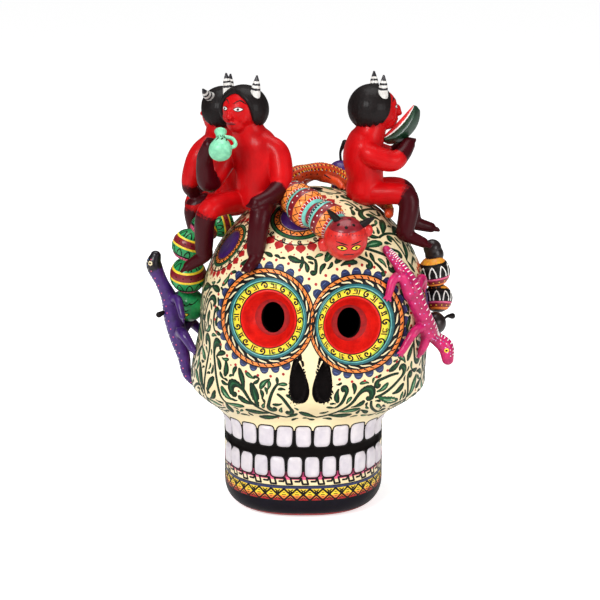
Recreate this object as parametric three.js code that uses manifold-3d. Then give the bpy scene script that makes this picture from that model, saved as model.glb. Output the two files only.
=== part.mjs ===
// A hand-painted clay skull with three seated devils, four grubs and three lizards.
// Millimetres, +Z up. The face looks along -Y, and the origin is on the underside, below the jaw.
import * as THREE from "three";
import { mergeVertices } from "three/addons/utils/BufferGeometryUtils.js";
import Module from "manifold-3d";

const wasm = await Module();
wasm.setup();

// The moulded skull: heights above the table, then half widths and reaches from the origin.
const skullHeight = 171;
const jawHeight = 47;
const cheekHeight = 68;
const lipHeight = 53;
const muzzleHeight = 71;
const domeHeight = skullHeight * 0.6023;
const jawHalfWidth = 43.5;
const jawFront = 48;
const jawBack = 46;
const cheekHalfWidth = 64;
const cheekFront = 60;
const cheekBack = 70;
const templeHalfWidth = 62;
const templeFront = 62;
const templeBack = 78;
const cheekShift = 2.5;
const templeShift = 6;
const rimRound = 10;
const wallThickness = 6;
const floorThickness = 5;

// The eye sockets: a funnel with its own wall, and an oval hole into the hollow.
const socketRadius = 15;
const socketDepth = 10;
const socketWall = 4;
const socketHoleWidth = 12.5;
const socketHoleHeight = 16;
const leftEyeHeight = 114;
const rightEyeHeight = 111;
const leftEyeTurn = -108.5;
const rightEyeTurn = -76.5;

// The nose slits.
const slitHeight = 26;
const slitWidth = 9.5;
const slitDepth = 3.5;
const slitMiddleHeight = 82;
const slitSpacing = 13;
const slitLean = 7;

// The teeth and the gap between the two rows.
const toothPitch = 10;
const lowerToothPitch = 9.2;
const upperTeethBottom = 41;
const upperTeethTop = 53;
const lowerTeethBottom = 24;
const lowerTeethTop = 36;
const toothRelief = 0.9;
const upperTeeth = 11;
const lowerTeeth = 12;
const toothWidthShare = 0.86;
const toothCornerShare = 0.68;
const mouthDepth = 1.1;
const mouthHalfWidth = 52;

// The figures on it, in proportion to the skull.
const devilHeight = skullHeight * 0.3743;
const hornLength = devilHeight * 0.155;
const hornRadius = devilHeight * 0.045;
const jugRadius = devilHeight * 0.09;
const jugLength = devilHeight * 0.25;
const melonLength = devilHeight * 0.4;
const melonDepth = devilHeight * 0.12;
const melonThickness = devilHeight * 0.15;
const melonRoll = -38;
const greenBeadRadius = skullHeight * 0.0573;
const centreBeadRadius = skullHeight * 0.0596;
const blackBeadRadius = skullHeight * 0.0503;
const purpleBeadRadius = skullHeight * 0.0444;
const pinkLizardGirth = skullHeight * 0.0305;
const purpleLizardGirth = skullHeight * 0.0327;
const orangeLizardGirth = skullHeight * 0.0319;
const feelerLength = skullHeight * 0.0643;
const feelerRadius = feelerLength * 0.075;
const clubRadius = feelerLength * 0.155;
const earRadius = centreBeadRadius * 0.315;

// Pieces that touch keep this much room, and cutting shapes run past what they cut by the overrun.
const clearance = 0.3;
const overrun = 2;
const weld = 0.0001;

// How square the face's section is, from 2 for an oval, and what the dome takes off it.
const jawSquareness = 2.5;
const roundingShare = 0.5;

const skullSides = 38;
const hollowSides = 20;
const socketSides = 18;
const up = new THREE.Vector3(0, 0, 1);

const radians = (degrees) => (degrees * Math.PI) / 180;
const blend = (a, b, share) => a + (b - a) * share;
const ease = (share) => share * share * (3 - 2 * share);

// Turns a closed geometry into a solid that can be cut and joined.
function solid(geometry) {
  const bare = geometry.clone();
  bare.deleteAttribute("normal");
  bare.deleteAttribute("uv");
  const merged = mergeVertices(bare, weld);
  const vertProperties = new Float32Array(merged.attributes.position.array);
  const triVerts = new Uint32Array(merged.index.array);
  return new wasm.Manifold(new wasm.Mesh({ numProp: 3, vertProperties, triVerts }));
}

// Joins rings of points, each counter-clockwise about the line, into one closed skin.
function skin(first, rings, last) {
  const sides = rings[0].length;
  const points = [first, ...rings.flat(), last];
  const end = points.length - 1;
  const faces = [];
  const at = (ring, side) => 1 + ring * sides + (side % sides);
  for (let side = 0; side < sides; side++) {
    faces.push(0, at(0, side + 1), at(0, side));
    for (let ring = 0; ring < rings.length - 1; ring++) {
      faces.push(at(ring, side), at(ring, side + 1), at(ring + 1, side + 1));
      faces.push(at(ring, side), at(ring + 1, side + 1), at(ring + 1, side));
    }
    faces.push(end, at(rings.length - 1, side), at(rings.length - 1, side + 1));
  }
  const geometry = new THREE.BufferGeometry().setFromPoints(points);
  geometry.setIndex(faces);
  return solid(geometry);
}

// The skull's level section at a height, drawn in by an inset: a rounded box low down, an oval on top.
// The cheeks flare out over the jaw, and the muzzle swells forward above the upper teeth.
function sectionAt(height, inset) {
  const eased = (bottom, top) => ease(Math.min(1, Math.max(0, (height - bottom) / (top - bottom))));
  const flare = eased(jawHeight, cheekHeight);
  const swell = eased(lipHeight, muzzleHeight);
  const narrowing = eased(cheekHeight, domeHeight);
  const rise = Math.max(0, (height - domeHeight) / (skullHeight - inset - domeHeight));
  const dome = Math.sqrt(Math.max(0, 1 - rise * rise));
  const rimDrop = Math.max(0, rimRound - height - inset) / rimRound;
  const rim = rimRound * (1 - Math.sqrt(Math.max(0, 1 - rimDrop * rimDrop)));
  const reach = (jaw, cheek, temple, share) => {
    const outer = blend(blend(jaw, cheek, share), temple, narrowing);
    return (outer - inset - rim) * dome;
  };
  return {
    wide: reach(jawHalfWidth, cheekHalfWidth, templeHalfWidth, flare),
    front: reach(jawFront, cheekFront, templeFront, swell),
    back: reach(jawBack, cheekBack, templeBack, flare),
    shift: blend(cheekShift * flare, templeShift, narrowing),
    square: jawSquareness - roundingShare * (1 - dome),
  };
}

// A point on the skull at a turn in degrees about its height, from +X towards +Y.
function wallPoint(turn, height, inset = 0) {
  const section = sectionAt(height, inset);
  const across = Math.cos(radians(turn));
  const along = Math.sin(radians(turn));
  const power = along > 0 ? 1 : 2 / section.square;
  const reach = along > 0 ? section.back : section.front;
  return new THREE.Vector3(
    section.shift + section.wide * Math.sign(across) * Math.abs(across) ** power,
    reach * Math.sign(along) * Math.abs(along) ** power,
    height,
  );
}

// The outward direction there, from the two ways along the surface.
function wallNormal(turn, height) {
  const probeTurn = 1;
  const probe = skullHeight * 0.002;
  const low = Math.min(height, skullHeight - probe) - probe;
  const round = wallPoint(turn + probeTurn, low).sub(wallPoint(turn - probeTurn, low));
  const rise = wallPoint(turn, low + probe).sub(wallPoint(turn, low - probe));
  return round.cross(rise).normalize();
}

// A place given by its turn, its share of the skull's height and how far off the surface it is.
function onSkull(turn, heightShare, lift = 0) {
  const height = heightShare * skullHeight;
  return wallPoint(turn, height).addScaledVector(wallNormal(turn, height), lift);
}

// Levels of the skull from the bottom, close together where the outline bends.
function skullLevels(inset, bottom, domeSteps) {
  const rimShares = [0, 0.1, 0.32, 0.62, 1];
  const flareShares = [0, 0.25, 0.5, 0.75, 1];
  const templeShares = [0.2, 0.6, 1];
  const levels = inset > 0 ? [bottom] : rimShares.map((share) => rimRound * share);
  flareShares.forEach((share) => levels.push(blend(jawHeight, cheekHeight, share)));
  templeShares.forEach((share) => levels.push(blend(cheekHeight, domeHeight, share)));
  for (let step = 1; step < domeSteps; step++) {
    const rise = Math.sin(((step / domeSteps) * Math.PI) / 2);
    levels.push(blend(domeHeight, skullHeight - inset, rise));
  }
  return levels;
}

// The whole outside of the skull or of its hollow, and, with grow, the room that it takes up.
function skullForm({ inset = 0, bottom = 0, sides = skullSides, domeSteps = 8, grow = 0 }) {
  const levels = skullLevels(inset, bottom, domeSteps);
  const rings = levels.map((height) => {
    const ring = [];
    for (let side = 0; side < sides; side++) {
      const turn = (360 * side) / sides;
      const point = wallPoint(turn, height, inset);
      if (grow > 0) point.addScaledVector(wallNormal(turn, Math.max(height, rimRound)), grow);
      ring.push(point);
    }
    return ring;
  });
  const section = sectionAt(levels.at(-1), inset);
  const top = new THREE.Vector3(section.shift, 0, skullHeight - inset + grow);
  return skin(new THREE.Vector3(0, 0, bottom - grow), rings, top);
}

// A form round a smooth line: an oval section at each point, and rounded ends.
function sweep({ line, wides, deeps = wides, across, sides = 8, steps = 8, grow = 0, endShare = 0.8 }) {
  const path = new THREE.CatmullRomCurve3(line, false, "catmullrom", 0.5);
  const girths = wides.map((wide, i) => new THREE.Vector3(wide, deeps[i], 0));
  const girth = new THREE.CatmullRomCurve3(girths, false, "catmullrom", 0.5);
  const section = (share, slide, shrink) => {
    const along = path.getTangent(share);
    const side = across.clone().addScaledVector(along, -across.dot(along)).normalize();
    const front = along.clone().cross(side);
    const size = girth.getPoint(share);
    const middle = path.getPoint(share).addScaledVector(along, slide * (size.y * endShare + grow));
    const ring = [];
    for (let i = 0; i < sides; i++) {
      const angle = (2 * Math.PI * i) / sides;
      const offset = side.clone().multiplyScalar(Math.cos(angle) * (size.x + grow) * shrink);
      offset.addScaledVector(front, Math.sin(angle) * (size.y + grow) * shrink);
      ring.push(middle.clone().add(offset));
    }
    return { ring, middle };
  };
  const bend = Math.SQRT1_2;
  const rings = [section(0, -bend, bend).ring];
  for (let step = 0; step <= steps; step++) rings.push(section(step / steps, 0, 1).ring);
  rings.push(section(1, bend, bend).ring);
  return skin(section(0, -1, 0).middle, rings, section(1, 1, 0).middle);
}

// A rounded lump, long in three directions, turned about the upright.
function lump({ middle, radii, turn = 0, tilt = 0, sides = 12, rows = 8, grow = 0 }) {
  const geometry = new THREE.SphereGeometry(1, sides, rows);
  geometry.rotateX(Math.PI / 2);
  geometry.scale(radii[0] + grow, radii[1] + grow, radii[2] + grow);
  geometry.rotateX(radians(tilt));
  geometry.rotateZ(radians(turn));
  geometry.translate(middle.x, middle.y, middle.z);
  return solid(geometry);
}

// The largest of the bodies that a cut leaves.
function mainBody(form) {
  return form.decompose().reduce((best, body) => (body.volume() > best.volume() ? body : best));
}

// A patch that follows the wall between two lifts, with its corners drawn in for a tooth.
function patch({ turns, heights, inner, outer, columns, drawnShares }) {
  const rows = drawnShares.length - 1;
  const points = [];
  const faces = [];
  const width = columns + 1;
  const middleTurn = (turns[0] + turns[1]) / 2;
  for (const top of [false, true]) {
    for (let row = 0; row <= rows; row++) {
      for (let column = 0; column <= columns; column++) {
        const turn = blend(turns[0], turns[1], column / columns);
        const height = blend(heights[0], heights[1], row / rows);
        const lift = top ? outer : inner;
        const place = blend(middleTurn, turn, drawnShares[row]);
        points.push(wallPoint(place, height).addScaledVector(wallNormal(place, height), lift));
      }
    }
  }
  const low = (row, column) => row * width + column;
  const high = (row, column) => (rows + 1) * width + low(row, column);
  const quad = (a, b, c, d) => faces.push(a, b, c, a, c, d);
  for (let row = 0; row < rows; row++) {
    const next = row + 1;
    for (let column = 0; column < columns; column++) {
      const beside = column + 1;
      quad(high(row, column), high(row, beside), high(next, beside), high(next, column));
      quad(low(row, column), low(next, column), low(next, beside), low(row, beside));
    }
    quad(low(row, 0), high(row, 0), high(next, 0), low(next, 0));
    quad(low(row, columns), low(next, columns), high(next, columns), high(row, columns));
  }
  for (let column = 0; column < columns; column++) {
    const beside = column + 1;
    quad(low(0, column), low(0, beside), high(0, beside), high(0, column));
    quad(low(rows, column), high(rows, column), high(rows, beside), low(rows, beside));
  }
  const geometry = new THREE.BufferGeometry().setFromPoints(points);
  geometry.setIndex(faces);
  return solid(geometry);
}

// The turn at which the wall has run a given way round from the middle of the face.
function turnAlong(height, distance) {
  const step = Math.sign(distance) * 0.5;
  let turn = -90;
  let run = 0;
  while (run < Math.abs(distance)) {
    run += wallPoint(turn, height).distanceTo(wallPoint(turn + step, height));
    turn += step;
  }
  return turn;
}

// A row of teeth, each drawn in above and below, evenly round the jaw from its middle.
function teethRow(count, pitch, bottom, top) {
  const middle = (bottom + top) / 2;
  const halfTooth = pitch * toothWidthShare * 0.5;
  const teeth = [];
  for (let i = 0; i < count; i++) {
    const centre = (i - (count - 1) / 2) * pitch;
    const left = turnAlong(middle, centre - halfTooth);
    const right = turnAlong(middle, centre + halfTooth);
    teeth.push(
      patch({
        turns: [left, right],
        heights: [bottom, top],
        inner: -toothRelief,
        outer: toothRelief,
        columns: 1,
        drawnShares: [toothCornerShare, 1, 1, toothCornerShare],
      }),
    );
  }
  return teeth;
}

// A solid made about the upright and then laid along the wall's outward direction.
function aimed(geometry, turn, height, lift = 0) {
  const outward = wallNormal(turn, height);
  geometry.applyQuaternion(new THREE.Quaternion().setFromUnitVectors(up, outward));
  const place = wallPoint(turn, height).addScaledVector(outward, lift);
  geometry.translate(place.x, place.y, place.z);
  return solid(geometry);
}

function lathe(outline, sides) {
  const geometry = new THREE.LatheGeometry(
    outline.map(([radius, height]) => new THREE.Vector2(radius, height)),
    sides,
  );
  return geometry.rotateX(Math.PI / 2);
}

// Each socket's outer wall, its funnel and its hole.
function socket(turn, height) {
  const holeRadius = socketHoleHeight / 2;
  const deep = socketDepth + socketWall;
  const wall = lathe(
    [
      [0, -deep],
      [holeRadius + socketWall, -deep],
      [socketRadius + socketWall, -socketWall / 2],
      [socketRadius + socketWall, overrun],
      [0, overrun],
    ],
    socketSides,
  );
  const funnel = lathe(
    [
      [0, -socketDepth],
      [holeRadius, -socketDepth],
      [blend(holeRadius, socketRadius, 0.62), -socketDepth / 2],
      [socketRadius, 0],
      [socketRadius, overrun * 2],
      [0, overrun * 2],
    ],
    socketSides,
  );
  const hole = lathe(
    [
      [0, -deep - overrun],
      [holeRadius, -deep - overrun],
      [holeRadius, overrun - socketDepth],
      [0, overrun - socketDepth],
    ],
    socketSides,
  );
  hole.scale(socketHoleWidth / socketHoleHeight, 1, 1);
  return {
    wall: aimed(wall, turn, height),
    cut: aimed(funnel, turn, height).add(aimed(hole, turn, height)),
  };
}

// One nose slit: a drop, narrow above and full below, sunk to its depth under the wall.
function noseSlit(side) {
  const half = slitHeight / 2;
  const belly = slitWidth / 2;
  const bellyHeight = -half * 0.62;
  const shoulder = half * 0.6;
  const waist = -half * 0.2;
  const drop = new THREE.Shape();
  drop.moveTo(0, half);
  drop.bezierCurveTo(belly * 0.5, shoulder, belly * 1.3, waist, belly, bellyHeight);
  drop.quadraticCurveTo(belly * 0.7, -half, 0, -half);
  drop.quadraticCurveTo(-belly * 0.7, -half, -belly, bellyHeight);
  drop.bezierCurveTo(-belly * 1.3, waist, -belly * 0.5, shoulder, 0, half);
  const depth = slitDepth + overrun;
  const geometry = new THREE.ExtrudeGeometry(drop, { depth, bevelEnabled: false, curveSegments: 4 });
  const turn = turnAlong(slitMiddleHeight, (side * slitSpacing) / 2);
  geometry.translate(0, 0, -slitDepth);
  geometry.rotateZ(radians(side * slitLean));
  geometry.rotateX(Math.PI / 2);
  const outward = wallNormal(turn, slitMiddleHeight);
  geometry.rotateZ(Math.atan2(outward.y, outward.x) + Math.PI / 2);
  const place = wallPoint(turn, slitMiddleHeight);
  geometry.translate(place.x, place.y, place.z);
  return solid(geometry);
}

function skullShell() {
  const outside = skullForm({});
  const inset = wallThickness;
  const hollow = skullForm({ inset, bottom: floorThickness, sides: hollowSides, domeSteps: 5 });
  const sockets = [socket(leftEyeTurn, leftEyeHeight), socket(rightEyeTurn, rightEyeHeight)];
  let shell = outside.subtract(hollow);
  for (const { wall } of sockets) shell = shell.add(wall.intersect(outside));
  for (const { cut } of sockets) shell = shell.subtract(cut);
  const mouth = patch({
    turns: [turnAlong(lowerTeethTop, -mouthHalfWidth), turnAlong(lowerTeethTop, mouthHalfWidth)],
    heights: [lowerTeethTop, upperTeethBottom],
    inner: -mouthDepth,
    outer: overrun,
    columns: 12,
    drawnShares: [1, 1],
  });
  shell = shell.subtract(mouth).subtract(noseSlit(-1)).subtract(noseSlit(1));
  const upper = teethRow(upperTeeth, toothPitch, upperTeethBottom, upperTeethTop);
  const lower = teethRow(lowerTeeth, lowerToothPitch, lowerTeethBottom, lowerTeethTop);
  for (const tooth of [...upper, ...lower]) shell = shell.add(tooth);
  return shell;
}

// Every piece is kept with the room that it takes up, which is cut out of the pieces laid on it.
const group = new THREE.Group();
const room = new Map();

function add(parent, name, form, { color, roughness, laidOn = [] }) {
  let body = form(0);
  for (const other of laidOn) body = body.subtract(room.get(other));
  body = mainBody(body);
  room.set(name, form(clearance));
  const mesh = body.getMesh();
  const geometry = new THREE.BufferGeometry();
  geometry.setAttribute("position", new THREE.BufferAttribute(mesh.vertProperties, mesh.numProp));
  geometry.setIndex(new THREE.BufferAttribute(mesh.triVerts, 1));
  const material = new THREE.MeshStandardMaterial({ color, roughness, metalness: 0 });
  const piece = new THREE.Mesh(geometry, material);
  piece.name = name;
  parent.add(piece);
}

const cream = { color: 0xf0e3bd, roughness: 0.35 };
const devilRed = { color: 0xcc1217, roughness: 0.4 };
const maroon = { color: 0x34101a, roughness: 0.4 };
const hairBlack = { color: 0x100b0b, roughness: 0.4 };
const hornWhite = { color: 0xd9d6d2, roughness: 0.45 };
const jugGreen = { color: 0x7fcc9e, roughness: 0.4 };
const rindGreen = { color: 0x123a21, roughness: 0.35 };
const beadGreen = { color: 0x1a9a55, roughness: 0.4 };
const beadTeal = { color: 0x2f8b8d, roughness: 0.4 };
const beadGold = { color: 0xd9a53a, roughness: 0.4 };
const beadBlack = { color: 0x1c1012, roughness: 0.4 };
const purple = { color: 0x402068, roughness: 0.4 };
const magenta = { color: 0xc41561, roughness: 0.4 };
const orange = { color: 0xe04a1a, roughness: 0.4 };

add(group, "skull_shell", skullShell, cream);
room.set("skull_shell", skullForm({ grow: clearance }));

const beadMiddle = ([turn, heightShare, liftShare], beadRadius) =>
  onSkull(turn, heightShare, beadRadius * liftShare);

// A chain of beads pressed together: turn, share of the skull's height, lift and size shares.
function beadChain(beadShares, beadRadius, sides = 9) {
  return (grow) =>
    beadShares
      .map((row) => {
        const middle = beadMiddle(row, beadRadius);
        const radius = beadRadius * row[3];
        return lump({ middle, radii: [radius, radius, radius], sides, rows: 6, grow });
      })
      .reduce((chain, bead) => chain.add(bead));
}

// A feeler: a thin bent stalk that thickens into a club.
function feeler(root, aim, rise) {
  const tip = root.clone().addScaledVector(aim, feelerLength);
  const bend = root.clone().lerp(tip, 0.5).addScaledVector(rise, feelerLength * 0.12);
  const line = [root, bend, tip];
  const wides = [feelerRadius, feelerRadius, clubRadius];
  return (grow) => sweep({ line, wides, across: rise, sides: 6, steps: 5, grow, endShare: 1 });
}

const direction = (x, y, z) => new THREE.Vector3(x, y, z).normalize();

// Lizards: each point has a turn, a share of the skull's height, a lift share and a girth share.
function laidLine(lineShares, girth) {
  const place = ([turn, heightShare, liftShare]) => onSkull(turn, heightShare, girth * liftShare);
  return { line: lineShares.map(place), wides: lineShares.map((row) => girth * row[3]) };
}

function lizardBody(lineShares, girth) {
  const { line, wides } = laidLine(lineShares, girth);
  const [turn, heightShare] = lineShares[2];
  const outward = wallNormal(turn, heightShare * skullHeight);
  const across = line[2].clone().sub(line[1]).cross(outward).normalize();
  const steps = 2 * (line.length - 1);
  return (grow) => sweep({ line, wides, across, sides: 7, steps, grow, endShare: 0.9 });
}

function lizardLeg(lineShares, girth) {
  const { line, wides } = laidLine(lineShares, girth);
  const across = direction(1, 0.3, 0.2);
  return (grow) => sweep({ line, wides, across, sides: 6, steps: 5, grow });
}

// The legs of a lizard, each cut by the body and by the legs made before it.
function addLegs(parent, body, legShares, girth, finish) {
  const laidOn = ["skull_shell", body];
  for (const [name, lineShares] of Object.entries(legShares)) {
    add(parent, name, lizardLeg(lineShares, girth), { ...finish, laidOn: [...laidOn] });
    laidOn.push(name);
  }
}

const orangeLizardShares = [
  [136, 0.978, 0.7, 0.55],
  [122, 0.985, 1.2, 0.95],
  [103, 0.985, 1.45, 0.8],
  [79, 0.978, 1.55, 1],
  [64, 0.959, 1.45, 0.95],
  [50, 0.94, 1.2, 0.8],
  [28, 0.925, 0.8, 0.65],
  [6, 0.918, 0.62, 0.55],
  [-12, 0.914, 0.55, 0.48],
  [-22, 0.905, 0.5, 0.4],
];
const orangeLegShares = {
  orange_lizard_left_leg: [
    [92, 0.984, 1.1, 0.5],
    [100, 0.965, 0.9, 0.42],
    [108, 0.955, 0.3, 0.36],
  ],
  orange_lizard_right_leg: [
    [80, 0.978, 1, 0.5],
    [50, 0.985, 0.7, 0.42],
    [30, 0.985, 0.3, 0.36],
  ],
};
const orangeLizard = new THREE.Group();
group.add(orangeLizard);
add(orangeLizard, "orange_lizard_body", lizardBody(orangeLizardShares, orangeLizardGirth), {
  ...orange,
  laidOn: ["skull_shell"],
});
addLegs(orangeLizard, "orange_lizard_body", orangeLegShares, orangeLizardGirth, orange);

const pinkLizardShares = [
  [-46.5, 0.848, 0.35, 0.42],
  [-45, 0.825, 0.45, 0.5],
  [-43, 0.795, 0.55, 0.62],
  [-41, 0.745, 0.7, 0.95],
  [-37, 0.675, 0.75, 0.9],
  [-30, 0.605, 0.85, 1],
  [-25, 0.575, 1.1, 0.72],
  [-23, 0.545, 2.3, 0.85],
  [-23, 0.505, 2.7, 0.62],
];
const pinkLegShares = {
  pink_lizard_rear_left_leg: [
    [-42, 0.715, 0.7, 0.75],
    [-47, 0.765, 1.1, 0.62],
    [-52, 0.765, 0.7, 0.5],
    [-56, 0.727, 0.3, 0.38],
  ],
  pink_lizard_rear_right_leg: [
    [-37, 0.72, 0.6, 0.6],
    [-27, 0.745, 0.7, 0.55],
    [-22, 0.72, 0.35, 0.4],
  ],
  pink_lizard_front_left_leg: [
    [-32, 0.62, 0.8, 0.6],
    [-42, 0.61, 0.7, 0.5],
    [-49, 0.555, 0.35, 0.38],
  ],
  pink_lizard_front_right_leg: [
    [-29, 0.605, 0.5, 0.6],
    [-31, 0.565, 0.7, 0.52],
    [-32, 0.53, 0.4, 0.38],
  ],
};
const pinkLizard = new THREE.Group();
group.add(pinkLizard);
add(pinkLizard, "pink_lizard_body", lizardBody(pinkLizardShares, pinkLizardGirth), {
  ...magenta,
  laidOn: ["skull_shell"],
});
addLegs(pinkLizard, "pink_lizard_body", pinkLegShares, pinkLizardGirth, magenta);
const pinkPieces = ["pink_lizard_body", ...Object.keys(pinkLegShares)];

const purpleLizardShares = [
  [176, 0.728, 5.2, 0.55],
  [176, 0.705, 5.1, 0.8],
  [176, 0.67, 4.1, 0.66],
  [175, 0.627, 3.2, 0.85],
  [175, 0.56, 2.75, 1],
  [175, 0.494, 1.9, 0.9],
  [176, 0.439, 0.95, 0.66],
  [177, 0.39, 0.5, 0.5],
  [177, 0.349, 0.3, 0.38],
];
const purpleLegShares = {
  purple_lizard_rear_left_leg: [
    [175, 0.5, 1.8, 0.62],
    [185, 0.535, 1.5, 0.58],
    [190, 0.5, 0.3, 0.4],
  ],
  purple_lizard_rear_right_leg: [
    [175, 0.5, 1.8, 0.62],
    [165, 0.525, 1.5, 0.58],
    [160, 0.49, 0.3, 0.4],
  ],
  purple_lizard_front_left_leg: [
    [175, 0.625, 3, 0.5],
    [182, 0.64, 2.2, 0.45],
    [186, 0.6, 1.7, 0.34],
  ],
  purple_lizard_front_right_leg: [
    [175, 0.625, 3, 0.5],
    [168, 0.63, 2, 0.45],
    [163, 0.6, 0.4, 0.34],
  ],
};
const purpleLizard = new THREE.Group();
group.add(purpleLizard);
add(purpleLizard, "purple_lizard_body", lizardBody(purpleLizardShares, purpleLizardGirth), {
  ...purple,
  laidOn: ["skull_shell"],
});
addLegs(purpleLizard, "purple_lizard_body", purpleLegShares, purpleLizardGirth, purple);
const purplePieces = ["purple_lizard_body", ...Object.keys(purpleLegShares)];

// The green grub arches off the left side, head down.
const greenBeadShares = [
  [174, 0.862, 0.5, 0.72],
  [177, 0.835, 1.12, 0.8],
  [179, 0.782, 1.45, 0.9],
  [176, 0.702, 0.95, 1.02],
];
const greenHeadShares = [[171, 0.605, 0.84, 0.95]];
const greenGrub = new THREE.Group();
group.add(greenGrub);
add(greenGrub, "green_grub_body", beadChain(greenBeadShares, greenBeadRadius), {
  ...beadGreen,
  laidOn: ["skull_shell", ...purplePieces],
});
add(greenGrub, "green_grub_head", beadChain(greenHeadShares, greenBeadRadius), {
  ...beadGreen,
  laidOn: ["skull_shell", "green_grub_body", ...purplePieces],
});
const greenMiddle = beadMiddle(greenHeadShares[0], greenBeadRadius);
const greenFace = greenMiddle.addScaledVector(up, -greenBeadRadius * 0.25);
const greenAims = {
  green_grub_left_feeler: direction(-0.85, -0.5, -0.05),
  green_grub_right_feeler: direction(-0.55, 0.8, -0.05),
};
for (const [name, aim] of Object.entries(greenAims)) {
  const root = greenFace.clone().addScaledVector(aim, greenBeadRadius * 0.75);
  add(greenGrub, name, feeler(root, aim, up), {
    ...hairBlack,
    laidOn: ["green_grub_head", "purple_lizard_body"],
  });
}

// The large grub creeps down the forehead.
const centreBeadShares = [
  [-110, 0.968, 0.5, 0.9],
  [-96, 0.943, 0.72, 1],
  [-84, 0.915, 0.78, 0.93],
];
const centreHeadShares = [[-76, 0.868, 0.95, 1.1]];
const centreHead = beadMiddle(centreHeadShares[0], centreBeadRadius);
const centreGrub = new THREE.Group();
group.add(centreGrub);
add(centreGrub, "centre_grub_body", beadChain(centreBeadShares, centreBeadRadius, 12), {
  ...beadTeal,
  laidOn: ["skull_shell"],
});
add(centreGrub, "centre_grub_head", beadChain(centreHeadShares, centreBeadRadius, 12), {
  ...devilRed,
  laidOn: ["skull_shell", "centre_grub_body"],
});
const centrePieces = ["skull_shell", "centre_grub_head", "centre_grub_body"];
for (const [name, side] of Object.entries({ left: -1, right: 1 })) {
  const horn = `centre_grub_${name}_horn`;
  const crownWay = direction(0.55 * side + 0.25, -0.15, 0.75);
  const hornWay = direction(0.75 * side + 0.2, -0.1, 0.6);
  const crown = centreHead.clone().addScaledVector(crownWay, centreBeadRadius);
  const tip = crown.clone().addScaledVector(hornWay, centreBeadRadius * 0.75);
  const line = [crown, crown.clone().lerp(tip, 0.5), tip];
  const girthShares = [0.2, 0.17, 0.09];
  const wides = girthShares.map((share) => share * centreBeadRadius);
  const across = direction(0, 1, 0.1);
  add(centreGrub, horn, (grow) => sweep({ line, wides, across, sides: 6, steps: 4, grow }), {
    ...hairBlack,
    laidOn: centrePieces,
  });
  const earWay = direction(side, -0.05, 0.35 * side + 0.05);
  const middle = centreHead.clone().addScaledVector(earWay, centreBeadRadius * 1.12);
  const radii = [earRadius, earRadius * 0.7, earRadius * 1.1];
  const ear = (grow) => lump({ middle, radii, sides: 7, rows: 5, grow });
  add(centreGrub, `centre_grub_${name}_ear`, ear, {
    ...devilRed,
    laidOn: [...centrePieces, horn],
  });
}

// The black grub hangs on the right side behind the pink lizard.
const blackBeadShares = [
  [0, 0.723, 0.72, 1],
  [0, 0.643, 0.66, 0.92],
];
const blackHeadShares = [[-5, 0.578, 0.4, 0.72]];
const blackTailShares = [
  [2, 0.765, 1.08, 0.6],
  [2, 0.782, 1.12, 0.58],
];
const blackGrub = new THREE.Group();
group.add(blackGrub);
add(blackGrub, "black_grub_body", beadChain(blackBeadShares, blackBeadRadius), {
  ...beadGold,
  laidOn: ["skull_shell", ...pinkPieces],
});
add(blackGrub, "black_grub_head", beadChain(blackHeadShares, blackBeadRadius), {
  ...beadBlack,
  laidOn: ["skull_shell", "black_grub_body", ...pinkPieces],
});
add(blackGrub, "black_grub_tail", beadChain(blackTailShares, blackBeadRadius, 8), {
  ...beadBlack,
  laidOn: ["skull_shell", "black_grub_body"],
});
const blackMiddle = beadMiddle(blackHeadShares[0], blackBeadRadius);
const blackFace = blackMiddle.addScaledVector(direction(1, 0, 0.2), blackBeadRadius * 0.4);
add(blackGrub, "black_grub_feeler", feeler(blackFace, direction(0.6, 0.75, 0.1), up), {
  ...hairBlack,
  laidOn: ["black_grub_head", "black_grub_body"],
});

// The purple grub rears its head behind the crown and trails down the back.
const purpleBeadShares = [
  [69, 0.9, 1.1, 1],
  [70, 0.855, 0.9, 1.02],
  [71, 0.795, 0.86, 0.95],
];
const purpleHeadShares = [[69, 0.935, 1.75, 1]];
const purpleGrub = new THREE.Group();
group.add(purpleGrub);
add(purpleGrub, "purple_grub_body", beadChain(purpleBeadShares, purpleBeadRadius), {
  ...purple,
  laidOn: ["skull_shell", "orange_lizard_body"],
});
add(purpleGrub, "purple_grub_head", beadChain(purpleHeadShares, purpleBeadRadius), {
  ...purple,
  laidOn: ["skull_shell", "orange_lizard_body", "purple_grub_body"],
});
const purpleHead = beadMiddle(purpleHeadShares[0], purpleBeadRadius);
const purpleCrown = purpleHead.addScaledVector(up, purpleBeadRadius * 0.9);
const purpleFeeler = feeler(purpleCrown, direction(0.2, 0, 1), direction(-1, 0, 0.1));
add(purpleGrub, "purple_grub_feeler", purpleFeeler, {
  ...hairBlack,
  laidOn: ["purple_grub_head"],
});

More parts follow.
